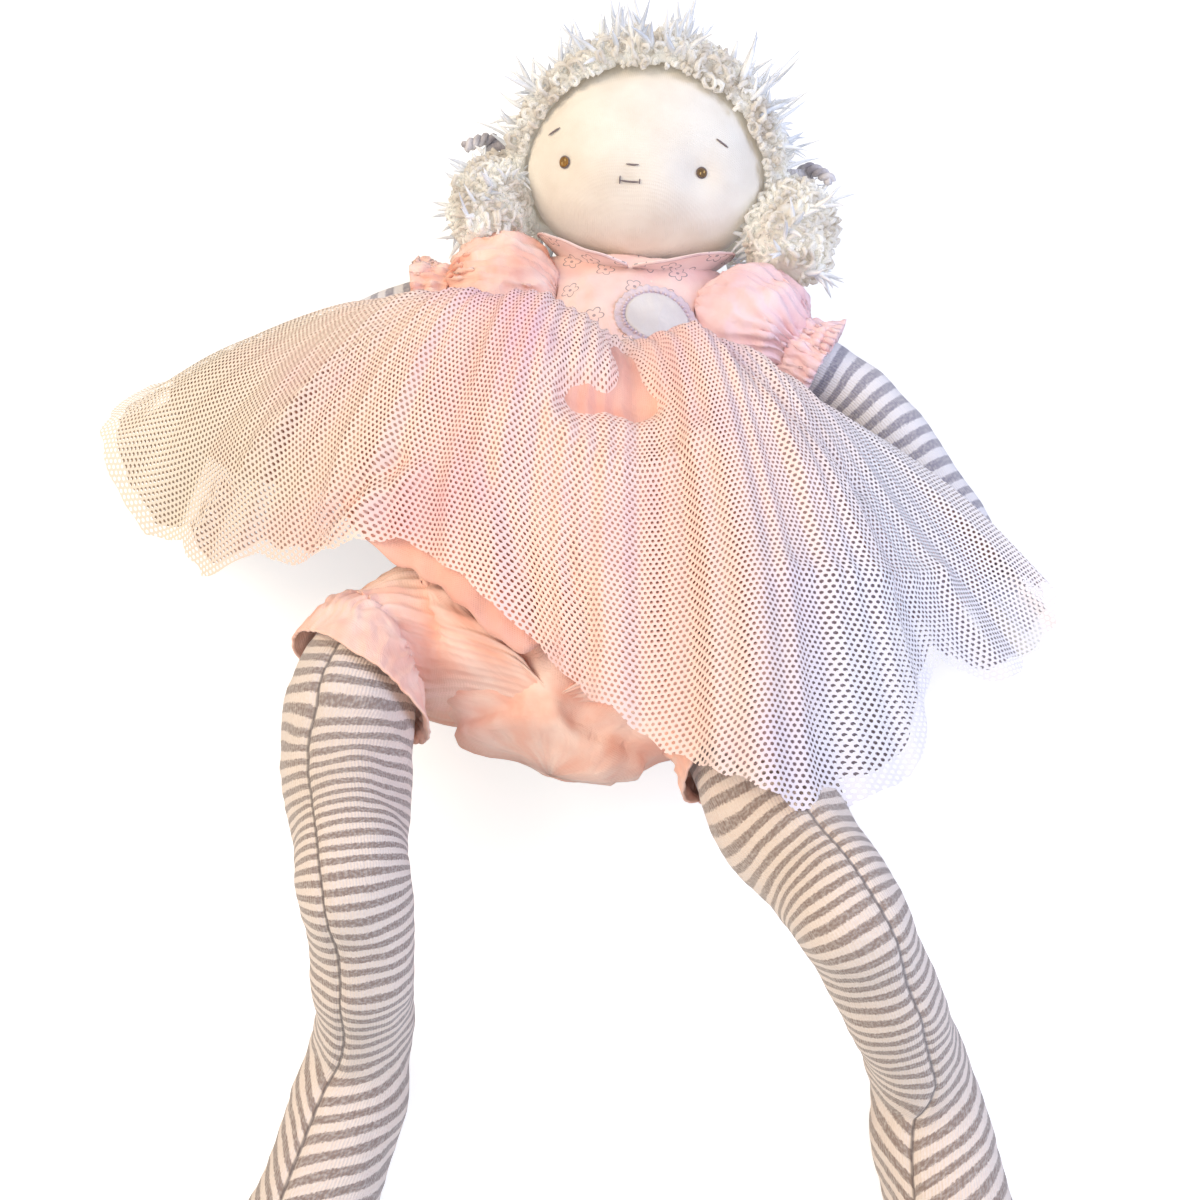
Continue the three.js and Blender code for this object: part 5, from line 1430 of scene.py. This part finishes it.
@dataclass
class Leg:
    """One leg in a single tube of jersey, bent softly at the knee."""

    side: Side

    def __post_init__(self) -> None:
        """Lay out the centre line from the hip over the knee to the toe."""
        left = self.side is Side.LEFT
        self.hip = mirrored(self.side, HIP)
        thigh = (
            [(0.22, 0, 0), (0.45, -0.17, 0.17), (0.57, -0.4, 0.4), (0.74, -0.68, 0.6), (1, -1, 1)]
            if left
            else [(-0.36, 0, 0), (-0.85, -0.06, 0.12), (-1, -0.24, 0.34), (-0.82, -0.57, 0.53), (-0.36, -1, 1)]
        )
        shin = (
            [(0.37, -0.2, 0.4), (0.7, -0.37, 0.86), (0.84, -0.6, 0.985), (1, -1, 1)]
            if left
            else [(0.4, -0.24, 0.39), (0, -0.42, 0.86), (-0.4, -0.64, 0.985), (-1, -1, 1)]
        )
        splay, run = (55.0, 82.0) if left else (33.0, 88.0)
        foot_splay, foot_run = (43.0, 70.0) if left else (6.0, 76.0)
        points = [self.hip] + [self.hip + vec(x * splay, y * run, z * 52.0) for x, y, z in thigh]
        self.thigh = Line.through(points)
        self.knee = points[-1]
        below = [self.knee + vec(x * foot_splay, y * foot_run, z * -66.5) for x, y, z in shin]
        self.shin = Line.through([self.knee, *below])
        self.seam_turns = eased_table(
            [(0, -30), (0.5, -30), (0.62, -22), (0.72, -12), (0.8, 18), (0.9, 28), (1, 42)]
            if left
            else [(0, 24), (0.25, 24), (0.45, 40), (0.6, 30), (0.8, 28), (1, 34)]
        )

    def centre_line(self) -> tuple[Line, Array]:
        """Return the smoothed centre line and the radius at each of its samples."""
        thigh_table = eased_table([(0, 15), (0.22, 15), (0.45, 18), (0.68, 18), (1, 12.5)])
        shin_table = eased_table([(0, 12.5), (0.35, 12.5), (0.56, 13.5), (0.75, 16), (1, 16)])
        spacing = 1.0
        places, radii = [], []
        for line, table in ((self.thigh, thigh_table), (self.shin, shin_table)):
            count = int(line.length / spacing)
            for step in range(count):
                share = step / count
                places.append(line.at(share))
                radii.append(table(share)[0])
        places.append(self.shin.at(1.0))
        radii.append(16.0)
        places, radii = np.array(places), np.array(radii)
        knee = int(self.thigh.length / spacing)
        softened = places.copy()
        for index in range(len(places)):
            near = math.exp(-(((index - knee) * spacing / 22.0) ** 2))
            reach = 7.5 * near + 0.01
            window = np.arange(max(0, index - 24), min(len(places), index + 25))
            weights = np.exp(-0.5 * ((window - index) * spacing / reach) ** 2)
            softened[index] = (places[window] * weights[:, None]).sum(axis=0) / weights.sum()
        radii = np.convolve(np.pad(radii, 6, mode="edge"), np.ones(13) / 13, mode="valid")
        radii += 1.3 * np.exp(-(((np.arange(len(radii)) - knee) * spacing / 12.0) ** 2))
        return Line(softened), radii

    def build(self) -> None:
        """Make the leg in one tube, softened over the knee."""
        line, radii = self.centre_line()
        sides, steps = 90, 260
        over = 15.0
        total = line.length + 2 * over
        rings, cloth, distance = [], [], 0.0
        upper = [(0, 0.85), (0.3, 0.85), (0.42, 0.84), (0.5, 0.78)]
        stretch = eased_table([*upper, (0.56, 0.66), (0.62, 0.63), (0.7, 0.7), (0.78, 0.78), (1, 0.8)])
        previous = None
        for step in range(steps + 1):
            along = -over + total * step / steps
            share = along / line.length
            inside = float(np.clip(share, 0, 1))
            radius = float(np.interp(inside * (len(radii) - 1), np.arange(len(radii)), radii))
            past = max(0.0, -along, along - line.length)
            radius *= math.sqrt(max(0.004, 1 - (past / over) ** 2)) if past > 0 else 1.0
            centre, heading = line.at(share), line.heading(inside)
            toward = toward_camera(centre, heading)
            sideways = np.cross(heading, toward)
            seam = math.radians(float(self.seam_turns(inside)[0]))
            columns = spread(sides)
            groove = 1 - 0.05 * np.exp(-(np.minimum(columns, TURN - columns) / 0.07) ** 2)
            wide = (radius * groove)[:, None]
            rings.append(hoop(centre, toward, sideways, columns + seam, wide, wide))
            view = unit(CAMERA_PLACE - centre)
            rise = float(heading @ view)
            shown = centre + toward * radius
            if previous is not None:
                distance += float(np.linalg.norm(shown - previous)) / float(stretch(inside)[0])
            previous = shown
            level = -radius * (0.85 if rise > 0 else 0.2) * rise / math.sqrt(1 - rise * rise)
            wrapped = np.concatenate([columns, [TURN]])
            from_seam = np.minimum(wrapped, TURN - wrapped)
            foot = float(np.clip((inside - 0.66) / 0.24, 0, 1))
            steep = (1 - np.exp(-from_seam / 2.2)) / (1 - math.exp(-math.pi / 2.2))
            chevron = foot * 34.0 * np.where(wrapped < math.pi, steep, from_seam / math.pi)
            drift = 2.6 * wrapped / TURN + (1 - foot) * level * np.cos(wrapped + seam)
            cloth.append(np.stack([wrapped / TURN * 0.105, (distance + drift + chevron) * MM], axis=1))
        rings = np.array(rings)
        shape = loft(rings, np.array(cloth), capped=True).facing_out()
        shape.crumple(1.5, (17, 17, 17), 6.0 + self.side.value).crumple(0.35, (7, 3.5, 5), 2.0)
        shape.above_floor()
        side = self.side.word
        nodes = [f"thigh_{side}", f"shin_{side}"]
        leg = make_piece(f"striped_leg_{side}", shape, JERSEY, None, nodes)
        start, end = self.thigh.at(1 - 13 / self.thigh.length), self.shin.at(13 / self.shin.length)
        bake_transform(leg)


@dataclass
class Bloomers:
    """Cotton bloomers in two halves with a middle seam, and their cuffs."""

    length: float = 92.0
    waist: float = 80.0
    legs: dict = field(default_factory=dict)

    def leg_rings(self, leg: Leg, shares: Sequence[float], radii: Sequence[float], sides: int) -> Array:
        """Return rings square to a thigh, whose first column points across the doll."""
        made = []
        for share, radius in zip(shares, radii):
            centre, heading = leg.thigh.at(share), leg.thigh.heading(share)
            up = unit(UP - heading * heading[2])
            first = np.cross(up, heading) * leg.side.value
            ring = hoop(centre, first, up, spread(sides), radius, radius)
            made.append(ring + self.skewed(leg, ring, centre, heading))
        return np.array(made)

    def skewed(self, leg: Leg, ring: Array, centre: Array, heading: Array) -> Array:
        """Return how far the hem of a bloomer leg slides down the thigh on its inner side."""
        inner = (ring - centre)[:, 0] * -leg.side.value
        front = (ring - centre) @ unit(CAMERA_PLACE - centre)
        stands_out, slides = (0.2, 0.7) if leg.side is Side.RIGHT else (0.05, 0.65)
        bulge = np.outer(np.clip(inner, 0, None) * stands_out, vec(-leg.side.value, 0, 0))
        return np.outer(inner * slides + front * 0.32, heading) + bulge

    def drawn_up(self, shape: Shape) -> Shape:
        """Draw the cloth up between the legs, most on the side of the raised right thigh."""
        share = np.interp(shape.points[:, 0], [-34, -12, 0, 20, 40], [0.84, 0.7, 0.76, 0.92, 1.0])
        low = np.minimum(shape.points[:, 1] - 20, 0)
        shape.points[:, 1] += low * (share - 1)
        return shape

    def half(self, leg: Leg) -> None:
        """Make one half: from the waist over the hip to the elastic at the leg."""
        sides, steps = 220, 90
        angles = spread(sides)
        way = leg.side.value
        lower = [(0, 4, 4, 4), (0.06, 16, 8, 8), (0.2, 20, 5, 5.5), (0.45, 15, 4, 2)]
        table = eased_table([*lower, (0.75, 7, 3, 2.2), (0.92, 3.6, 2.8, 2.6), (1, 3, 2.8, 2.8)])
        keys = []
        for share in (1.0, 0.85, 0.7, 0.55):
            station = self.waist - self.length * (1 - share)
            out, front, back = table(share)
            width, depth, height = body_section(station)
            centre = vec(0, station, height + (front - back) / 2)
            keys.append((centre, vec(0, -1, 0), width + out, depth + (front + back) / 2))
        for share, lean in ((0.4, 0.3), (0.25, 0.62)):
            station = self.waist - self.length * (1 - share)
            out, front, back = table(share)
            width, depth, height = body_section(station)
            centre = vec(way * 6.0 * lean, station - 10 * lean, height + (front - back) / 2)
            keys.append((centre, vec(way * lean, -1, 0), (width + out) * 1.02, depth + (front + back) / 2))
        for share, radius, lean in ((0.02, 36, 1.1), (0.1, 30, 1.6)):
            centre = leg.thigh.at(share) + vec(-way * 6 * (0.1 - share) * 10, -7 * (1 - share * 8), 2)
            keys.append((centre, vec(way * lean, -1, 0), radius, 26.5))
        for share, radius in ((0.17, 24.5), (0.23, 22.5), (0.285, 19.0), (0.31, 18.6)):
            keys.append((leg.thigh.at(share), leg.thigh.heading(share), radius, radius))
        centres = np.array([key[0] for key in keys])
        headings = np.array([unit(key[1]) for key in keys])
        wides = np.array([[key[2], key[3], 0] for key in keys])
        rings = []
        for step in range(steps + 1):
            share = step / steps
            centre, heading, wide = curve_at(centres, share), unit(curve_at(headings, share)), curve_at(wides, share)
            up = unit(UP - heading * heading[2])
            first = np.cross(up, heading) * way * -1
            first = first * (1 if first[0] * way > 0 or abs(first[0]) < 1e-6 and first[1] > 0 else -1)
            if step > steps * 0.6:
                first = first if first @ last > 0 else -first
            last = first
            ring = hoop(centre, first, up, angles, wide[0], wide[1])
            ring += self.skewed(leg, ring, centre, heading) * float(np.clip((share - 0.72) / 0.2, 0, 1))
            ring[:, 0] = np.where(ring[:, 0] * way < 0, 0.0, ring[:, 0])
            rings.append(ring)
        shape = skinned(rings, 165).facing_out()
        places = np.concatenate(rings)
        middle = np.abs(places[:, 0]) < 0.01
        strength = np.concatenate([np.linspace(1.0, 0.45, 14), np.full(steps - 34, 0.45), np.linspace(0.45, 1.25, 21)])
        folds = gathered(strength, angles / TURN, 19, 1.9, 5.0 + way).ravel()
        lumps = np.array([noise.noise(Vector(place / 13.0)) for place in places]) * 2.6
        near = np.clip(np.abs(places[:, 0]) / 6.0, 0, 1)
        shape.lift((folds + lumps + 0.2) * near)
        shape.points[:, 0] = np.where(middle, 0.0, shape.points[:, 0])
        shape.points[:, 0] = np.where(shape.points[:, 0] * way < 0, 0.0, shape.points[:, 0])
        self.drawn_up(shape).above_floor(0.4)
        shape = shape.without(lambda corners: bool(np.all(np.abs(corners[:, 0]) < 0.02)))
        side = leg.side.word
        nodes = ["bloomers_body", f"bloomer_leg_{side}"]
        half = make_piece(f"bloomers_{side}", shape, PEACH_COTTON, None, nodes)
        thicken(half, 0.5)
        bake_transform(half)

    def seat(self) -> None:
        """Make the part of the bloomers between the legs, which hangs in soft folds."""
        sides, steps = 150, 40
        angles = spread(sides)
        lower = [(0, -10.8, -7.4, -7.4), (0.05, 8, 1, -2), (0.14, 17, 8, 3)]
        table = eased_table([*lower, (0.3, 17, 5, 3), (0.6, 12, 2, 1), (1, 5, 1, 1)])
        rings = []
        for share in np.linspace(0, 1, steps):
            station = -19.0 + 79.0 * share
            out, front, back = table(share)
            width, depth, height = body_section(station)
            centre = vec(0, station, height + (front - back) / 2)
            ring = hoop(centre, ACROSS, UP, angles, width + out, depth + (front + back) / 2)
            middle = 7.0 * np.exp(-((ring[:, 0] / 10) ** 2)) * min(1.0, 4 * share)
            ring[:, 2] += np.where(np.sin(angles) > 0, middle, 0)
            rings.append(ring)
        shape = skinned(rings, 165).facing_out()
        shape.crumple(3.2, (16, 16, 16), 9.0).crumple(1.2, (6, 6, 6), 3.0)
        self.drawn_up(shape).above_floor()
        seat = make_piece("bloomers_seat", shape, PEACH_COTTON, "torso")
        thicken(seat, 0.5)

    def cuff(self, leg: Leg) -> None:
        """Make the elastic and the plain cuff below it."""
        side, sides = leg.side.word, 200
        turns = np.arange(sides) / sides
        shares = np.linspace(0.29, 0.325, 8)
        band = self.leg_rings(leg, shares, [18.5] * 8, sides)
        band_shape = skinned(band, 118).facing_out()
        band_shape.lift(gathered(np.ones(8), turns, 46, 0.5, 2.0).ravel())
        body, name = f"thigh_{side}", f"leg_elastic_cover_{side}"
        elastic = make_piece(name, band_shape, SOFT_ELASTIC, body, [f"leg_elastic_{side}"])
        thicken(elastic, 0.5)
        shares = np.linspace(0.298, 0.435, 34)
        table = eased_table([(0, 18.8), (0.15, 20.2), (0.5, 20.8), (1, 20.6)])
        radii = [table(step / 33)[0] for step in range(34)]
        rings = self.leg_rings(leg, shares, radii, sides)
        shape = skinned(rings, 150).facing_out()
        strength = np.linspace(1.0, 0.3, 34)
        shape.lift(gathered(strength, turns, 15, 1.1, 9.0 + leg.side.value).ravel())
        shape.crumple(1.6, (11, 11, 11), 5.0 + leg.side.value).crumple(0.5, (4, 4, 4), 1.0).above_floor()
        name = f"bloomer_cuff_band_{side}"
        cuff = make_piece(name, shape, PEACH_COTTON, body, [f"bloomer_cuff_{side}"])
        thicken(cuff, 0.7)

    def build(self) -> None:
        """Make both halves, the waist elastic and both cuffs."""
        stations = np.linspace(self.waist - 4.4, self.waist - 1.0, 6)
        rings = body_rings(stations, 1.3, 200)
        shape = skinned(rings, 190).facing_out()
        shape.lift(gathered(np.ones(6), np.arange(200) / 200, 50, 0.35, 2.0).ravel())
        elastic = make_piece("waist_elastic_cover", shape, SOFT_ELASTIC, "torso", ["waist_elastic"])
        thicken(elastic, 0.5)
        self.seat()
        for side in Side:
            leg = self.legs[side]
            self.half(leg)
            self.cuff(leg)


class Layer(Enum):
    """The skirt's layers: how many steps in from the outermost, and how far down each reaches."""

    OUTER = ("tulle_outer", 0, 1.0)
    UNDER = ("tulle_under", 1, 0.97)
    LINING = ("underskirt", 2, 0.82)


@dataclass
class Skirt:
    """Three gathered layers that lie over the doll: two of net and a cotton underskirt."""

    station: float = 130.0
    ease: float = 7.6
    layer_step: float = 1.6
    columns: int = 620
    rows: int = 64
    table: tuple = (
        ((0.44, 0.98, 0.51), (0.75, 0.77, 0.52), (1, 0.51, 0.44)),
        ((0.39, 0.94, 0.71), (0.69, 0.55, 0.6), (0.93, 0.29, 0.38)),
        ((0.31, 0.93, 0.84), (0.55, 0.48, 0.8), (0.69, 0.05, 0.6)),
        ((0.19, 0.93, 0.93), (0.35, 0.37, 0.94), (0.42, -0.17, 0.94)),
        ((0.05, 0.9, 0.89), (0.12, 0.38, 0.86), (0.17, -0.07, 0.84)),
        ((-0.11, 0.94, 1), (-0.13, 0.46, 0.89), (-0.08, 0.12, 0.76)),
        ((-0.27, 0.95, 0.98), (-0.36, 0.57, 0.84), (-0.36, 0.31, 0.73)),
        ((-0.39, 0.98, 0.91), (-0.59, 0.66, 0.73), (-0.67, 0.34, 0.42)),
        ((-0.47, 1.01, 0.82), (-0.79, 0.75, 0.62), (-0.97, 0.46, 0.25)),
        ((-0.5, 1.03, 0.73), (-0.87, 0.94, 0.58), (-1.17, 0.7, 0.38)),
        ((-0.43, 0.98, 0.34), (-0.74, 0.98, 0.4), (-1.04, 0.91, 0.38)),
        ((-0.26, 0.92, 0.1), (-0.41, 0.89, 0.12), (-0.57, 0.84, 0.14)),
        ((-0.1, 0.92, 0.022), (-0.15, 0.85, 0.016), (-0.21, 0.77, 0.011)),
        ((0.11, 0.91, 0.022), (0.17, 0.8, 0.016), (0.24, 0.69, 0.011)),
        ((0.27, 0.91, 0.055), (0.47, 0.8, 0.045), (0.64, 0.61, 0.033)),
        ((0.39, 0.92, 0.29), (0.64, 0.78, 0.3), (0.85, 0.54, 0.24)),
    )
    hem_table: tuple = (
        (0, 0.97), (0.021, 1), (0.05, 0.98), (0.075, 0.97), (0.098, 0.89), (0.115, 0.95), (0.137, 1.05), (0.168, 1.05),
        (0.203, 1.03), (0.225, 1.02), (0.247, 1.02), (0.29, 1.01), (0.308, 0.99), (0.325, 0.97), (0.37, 0.97), (0.385, 0.98),
        (0.4, 1), (0.42, 1.0), (0.445, 0.97), (0.468, 1.04), (0.488, 0.98), (0.508, 1.02), (0.53, 1), (0.56, 0.98), (0.6, 1),
    )
    large_creases: tuple = (
        (-7.0, 5.5, ((0.258, 0.32), (0.253, 0.39), (0.25, 0.46))),
        (-8.0, 6.5, ((0.286, 0.495), (0.27, 0.485), (0.25, 0.475))),
        (2.6, 3.5, ((0.31, 0.45), (0.297, 0.545), (0.268, 0.58), (0.24, 0.57), (0.21, 0.53))),
        (2.0, 4.0, ((0.192, 0.33), (0.168, 0.45), (0.155, 0.52), (0.15, 0.6))),
        (-3.0, 4.5, ((0.16, 0.36), (0.138, 0.47), (0.122, 0.53), (0.1, 0.58))),
        (2.0, 4.0, ((0.179, 0.72), (0.139, 0.75), (0.068, 0.73))),
        (-1.9, 3.5, ((0.33, 0.66), (0.315, 0.78), (0.31, 0.86))),
        (-1.9, 3.0, ((0.285, 0.76), (0.278, 0.84), (0.272, 0.92))),
        (2.2, 3.0, ((0.402, 0.96), (0.385, 0.86), (0.368, 0.75))),
        (-3.0, 3.0, ((0.418, 0.96), (0.4, 0.86), (0.38, 0.74))),
        (2.0, 4.0, ((0.44, 0.5), (0.46, 0.7), (0.48, 0.95))),
        (-2.0, 4.0, ((0.36, 0.42), (0.35, 0.55), (0.345, 0.65))),
    )

    def surface(self, reach: Array) -> Array:
        """Return the outermost surface.

        Args:
            reach: how far down the skirt each column goes; past 1 it runs on straight.

        Returns:
            Points in millimetres, row by row from the waist down.
        """
        table = np.array(self.table) * vec(150, 130, 90)
        turns = np.arange(self.columns) / self.columns
        width, depth, height = body_section(self.station)
        centre = vec(0, self.station, height)
        waist = hoop(centre, ACROSS, UP, turns * TURN, width + self.ease, depth + self.ease)
        lines = [np.array([curve_at(table[:, column], turn, closed=True) for turn in turns]) for column in range(3)]
        down = np.array([waist, *lines])
        fine = np.array([curve_at(down, step / 200) for step in range(201)])
        column = np.arange(self.columns)
        rows = []
        for row in range(self.rows + 1):
            at = reach * (row / self.rows) * 200
            low = np.clip(np.floor(at).astype(int), 0, 199)
            within = (at - low)[:, None]
            rows.append(fine[low, column] * (1 - within) + fine[low + 1, column] * within)
        rows = np.array(rows)
        rows[:, :, 2] = np.maximum(rows[:, :, 2], 1.0)
        return rows

    def folds(self, layer: Layer, reach: Array) -> Array:
        """Return how far gathers and folds raise each point, in millimetres."""
        inset = layer.value[1]
        turns = np.arange(self.columns) / self.columns
        fall = np.arange(self.rows + 1)[:, None] / self.rows * reach
        front = np.clip(np.sin(turns * TURN) + 0.3, 0, 1)
        wide = 3.0 * np.minimum(fall, 1) * front * np.cos(turns * 15 * TURN)
        fan = 0.8 * fall**0.7 * np.cos(turns * 41 * TURN + 1.7 * np.sin(turns * 5 * TURN) + inset * 0.8)
        fine = 0.7 * np.clip(1 - 0.7 * fall, 0, 1) * np.cos(turns * 83 * TURN + 2.0 * np.sin(turns * 7 * TURN))
        return wide + (0.3 + 0.7 * front) * (fan + fine)

    def creases(self, layer: Layer, rows: Array) -> Array:
        """Return how far the skirt's own few large creases raise each point."""
        lifts = np.zeros(rows.shape[:2])
        plain = self.surface(np.ones(self.columns))
        for height, width, path in self.large_creases:
            places = []
            for turn, fall in path:
                places.append(plain[int(round(fall * self.rows)), int(round(turn * self.columns)) % self.columns])
            line = Line.through(places, 24).samples
            near = np.min(np.linalg.norm(rows[:, :, None, :] - line[None, None, ::2, :], axis=3), axis=2)
            share = 0.4 if layer is Layer.LINING and height < 0 else 1.0
            lifts += share * height * np.exp(-((near / width) ** 2))
        return lifts

    def hem(self, layer: Layer) -> Array:
        """Return how far down each column of a layer reaches."""
        turns = np.arange(self.columns) / self.columns
        if layer is Layer.LINING:
            shown = np.clip((0.074 - np.abs(turns - 0.346)) / 0.048, 0, 1)
            ripple = 0.008 * np.cos(turns * 7 * TURN) + 0.006 * shown * np.cos(turns * 61 * TURN)
            return 0.82 + 0.225 * shown * shown * (3 - 2 * shown) + ripple
        table = np.array(self.hem_table)
        full = np.interp(turns, table[:, 0], table[:, 1], period=1.0)
        ragged = np.array([noise.noise(Vector((turn * 90, layer.value[1] * 5.0, 0))) for turn in turns])
        return full * layer.value[2] + 0.015 * ragged

    def build(self) -> None:
        """Make the three layers."""
        finishes = {Layer.OUTER: PINK_NET, Layer.UNDER: UNDER_NET, Layer.LINING: PEACH_LINING}
        for layer in Layer:
            node, inset, _ = layer.value
            reach = self.hem(layer)
            rows = self.surface(reach)
            steps = np.cumsum(np.linalg.norm(np.diff(rows, axis=0), axis=2), axis=0)
            along = np.concatenate([np.zeros((1, self.columns)), steps])
            closed = np.concatenate([rows, rows[:, :1]], axis=1)
            girths = np.linalg.norm(np.diff(closed, axis=1), axis=2).sum(axis=1)
            girth = float(np.mean(girths[self.rows // 3:]))
            share = np.arange(self.columns + 1) / self.columns
            down = np.concatenate([along, along[:, :1]], axis=1)
            cloth = np.stack([np.repeat(share[None, :] * girth, self.rows + 1, axis=0) * MM, down * MM], axis=2)
            shape = loft(rows, cloth).facing_out()
            lifts = self.folds(layer, reach) + self.creases(layer, rows) - inset * self.layer_step
            if layer is Layer.LINING:
                lifts += 0.45 * np.clip((np.arange(self.rows + 1) - self.rows * 0.93) * 2, 0, 1)[:, None]
            shape.lift(lifts.ravel())
            shape.above_floor(1.0 - 0.2 * inset)
            piece = make_piece(f"skirt_{node}", shape, finishes[layer], "torso", [node])
            LOG.info("%s: girth %.0f mm at the hem %.0f", node, girth, girths[-1])
            if layer is Layer.LINING:
                thicken(piece, 0.5)


@dataclass(frozen=True)
class Studio:
    """Pale floor, soft light, and the camera of the photograph."""

    lens: float = 35.4
    sensor: float = 36.0

    def floor(self) -> None:
        """Make the pale floor, which shows white to the camera and keeps the doll's shadow."""
        bpy.ops.object.select_all(action="DESELECT")
        bpy.ops.mesh.primitive_plane_add(size=8.0, location=(0, 0, -0.0008))
        floor = bpy.context.object
        floor.name = "studio_floor"
        material = bpy.data.materials.new("matt_white_floor")
        material.use_nodes = True
        material.node_tree.nodes.clear()
        add = partial(add_node, material.node_tree)
        rays = add("LightPath").node.outputs
        seen = add("Math", {0: rays["Is Camera Ray"], 1: rays["Is Transmission Ray"]}, operation="MAXIMUM")
        strength = add("Math", {0: seen, 1: 0.62}, operation="MULTIPLY")
        glow = add("Emission", {"Color": (1, 1, 1, 1), "Strength": strength})
        matt = add("BsdfDiffuse", {"Color": (0.62, 0.62, 0.62, 1)})
        add("OutputMaterial", {"Surface": add("AddShader", {0: glow, 1: matt})})
        floor.data.materials.append(material)

    def lamp(self, name: str, place: Sequence[float], size: float, power: float, tint: str) -> None:
        """Hang one soft square lamp, aimed at the doll."""
        light = bpy.data.lights.new(name, "AREA")
        light.size, light.energy = size, power
        light.color = colour(tint)[:3]
        lamp = bpy.data.objects.new(name, light)
        bpy.context.scene.collection.objects.link(lamp)
        lamp.location = place
        lamp.rotation_euler = (Vector((0, 0, 0)) - Vector(place)).to_track_quat("-Z", "Y").to_euler()

    def camera(self) -> None:
        """Set up the camera where the photograph was taken from."""
        data = bpy.data.cameras.new("photo_camera")
        data.lens, data.sensor_width = self.lens, self.sensor
        data.clip_start, data.clip_end = 0.01, 20.0
        camera = bpy.data.objects.new("photo_camera", data)
        bpy.context.scene.collection.objects.link(camera)
        camera.location = placed(CAMERA_PLACE)
        camera.rotation_euler = Vector((-0.0687, 0.4953, -0.8660)).to_track_quat("-Z", "Y").to_euler()
        bpy.context.scene.camera = camera

    def build(self) -> None:
        """Set up the whole studio."""
        self.camera()
        self.floor()
        self.lamp("warm_key", (-0.8, -0.05, 0.85), 0.8, 9.5, "#FFE9C8")
        self.lamp("cool_fill", (0.85, 0.1, 0.7), 0.8, 8.0, "#CCDAFF")
        self.lamp("front_fill", (0.05, -0.9, 0.9), 0.9, 5.0, "#FFFFFF")
        world = bpy.data.worlds.new("studio_air")
        bpy.context.scene.world = world
        world.use_nodes = True
        world.node_tree.nodes["Background"].inputs["Color"].default_value = (1, 1, 1, 1)
        world.node_tree.nodes["Background"].inputs["Strength"].default_value = 0.38
        bpy.context.scene.view_settings.view_transform = "Standard"


def main() -> None:
    """Build the studio, then the doll from the inside out."""
    logging.basicConfig(level=logging.INFO, format="%(name)s %(message)s")
    Studio().build()
    StuffedBody().build()
    Face().build()
    Hair().build()
    Dress().build()
    for side in Side:
        Arm(side).build()
    legs = {side: Leg(side) for side in Side}
    for leg in legs.values():
        leg.build()
    Bloomers(legs=legs).build()
    Skirt().build()


if __name__ == "__main__":
    main()
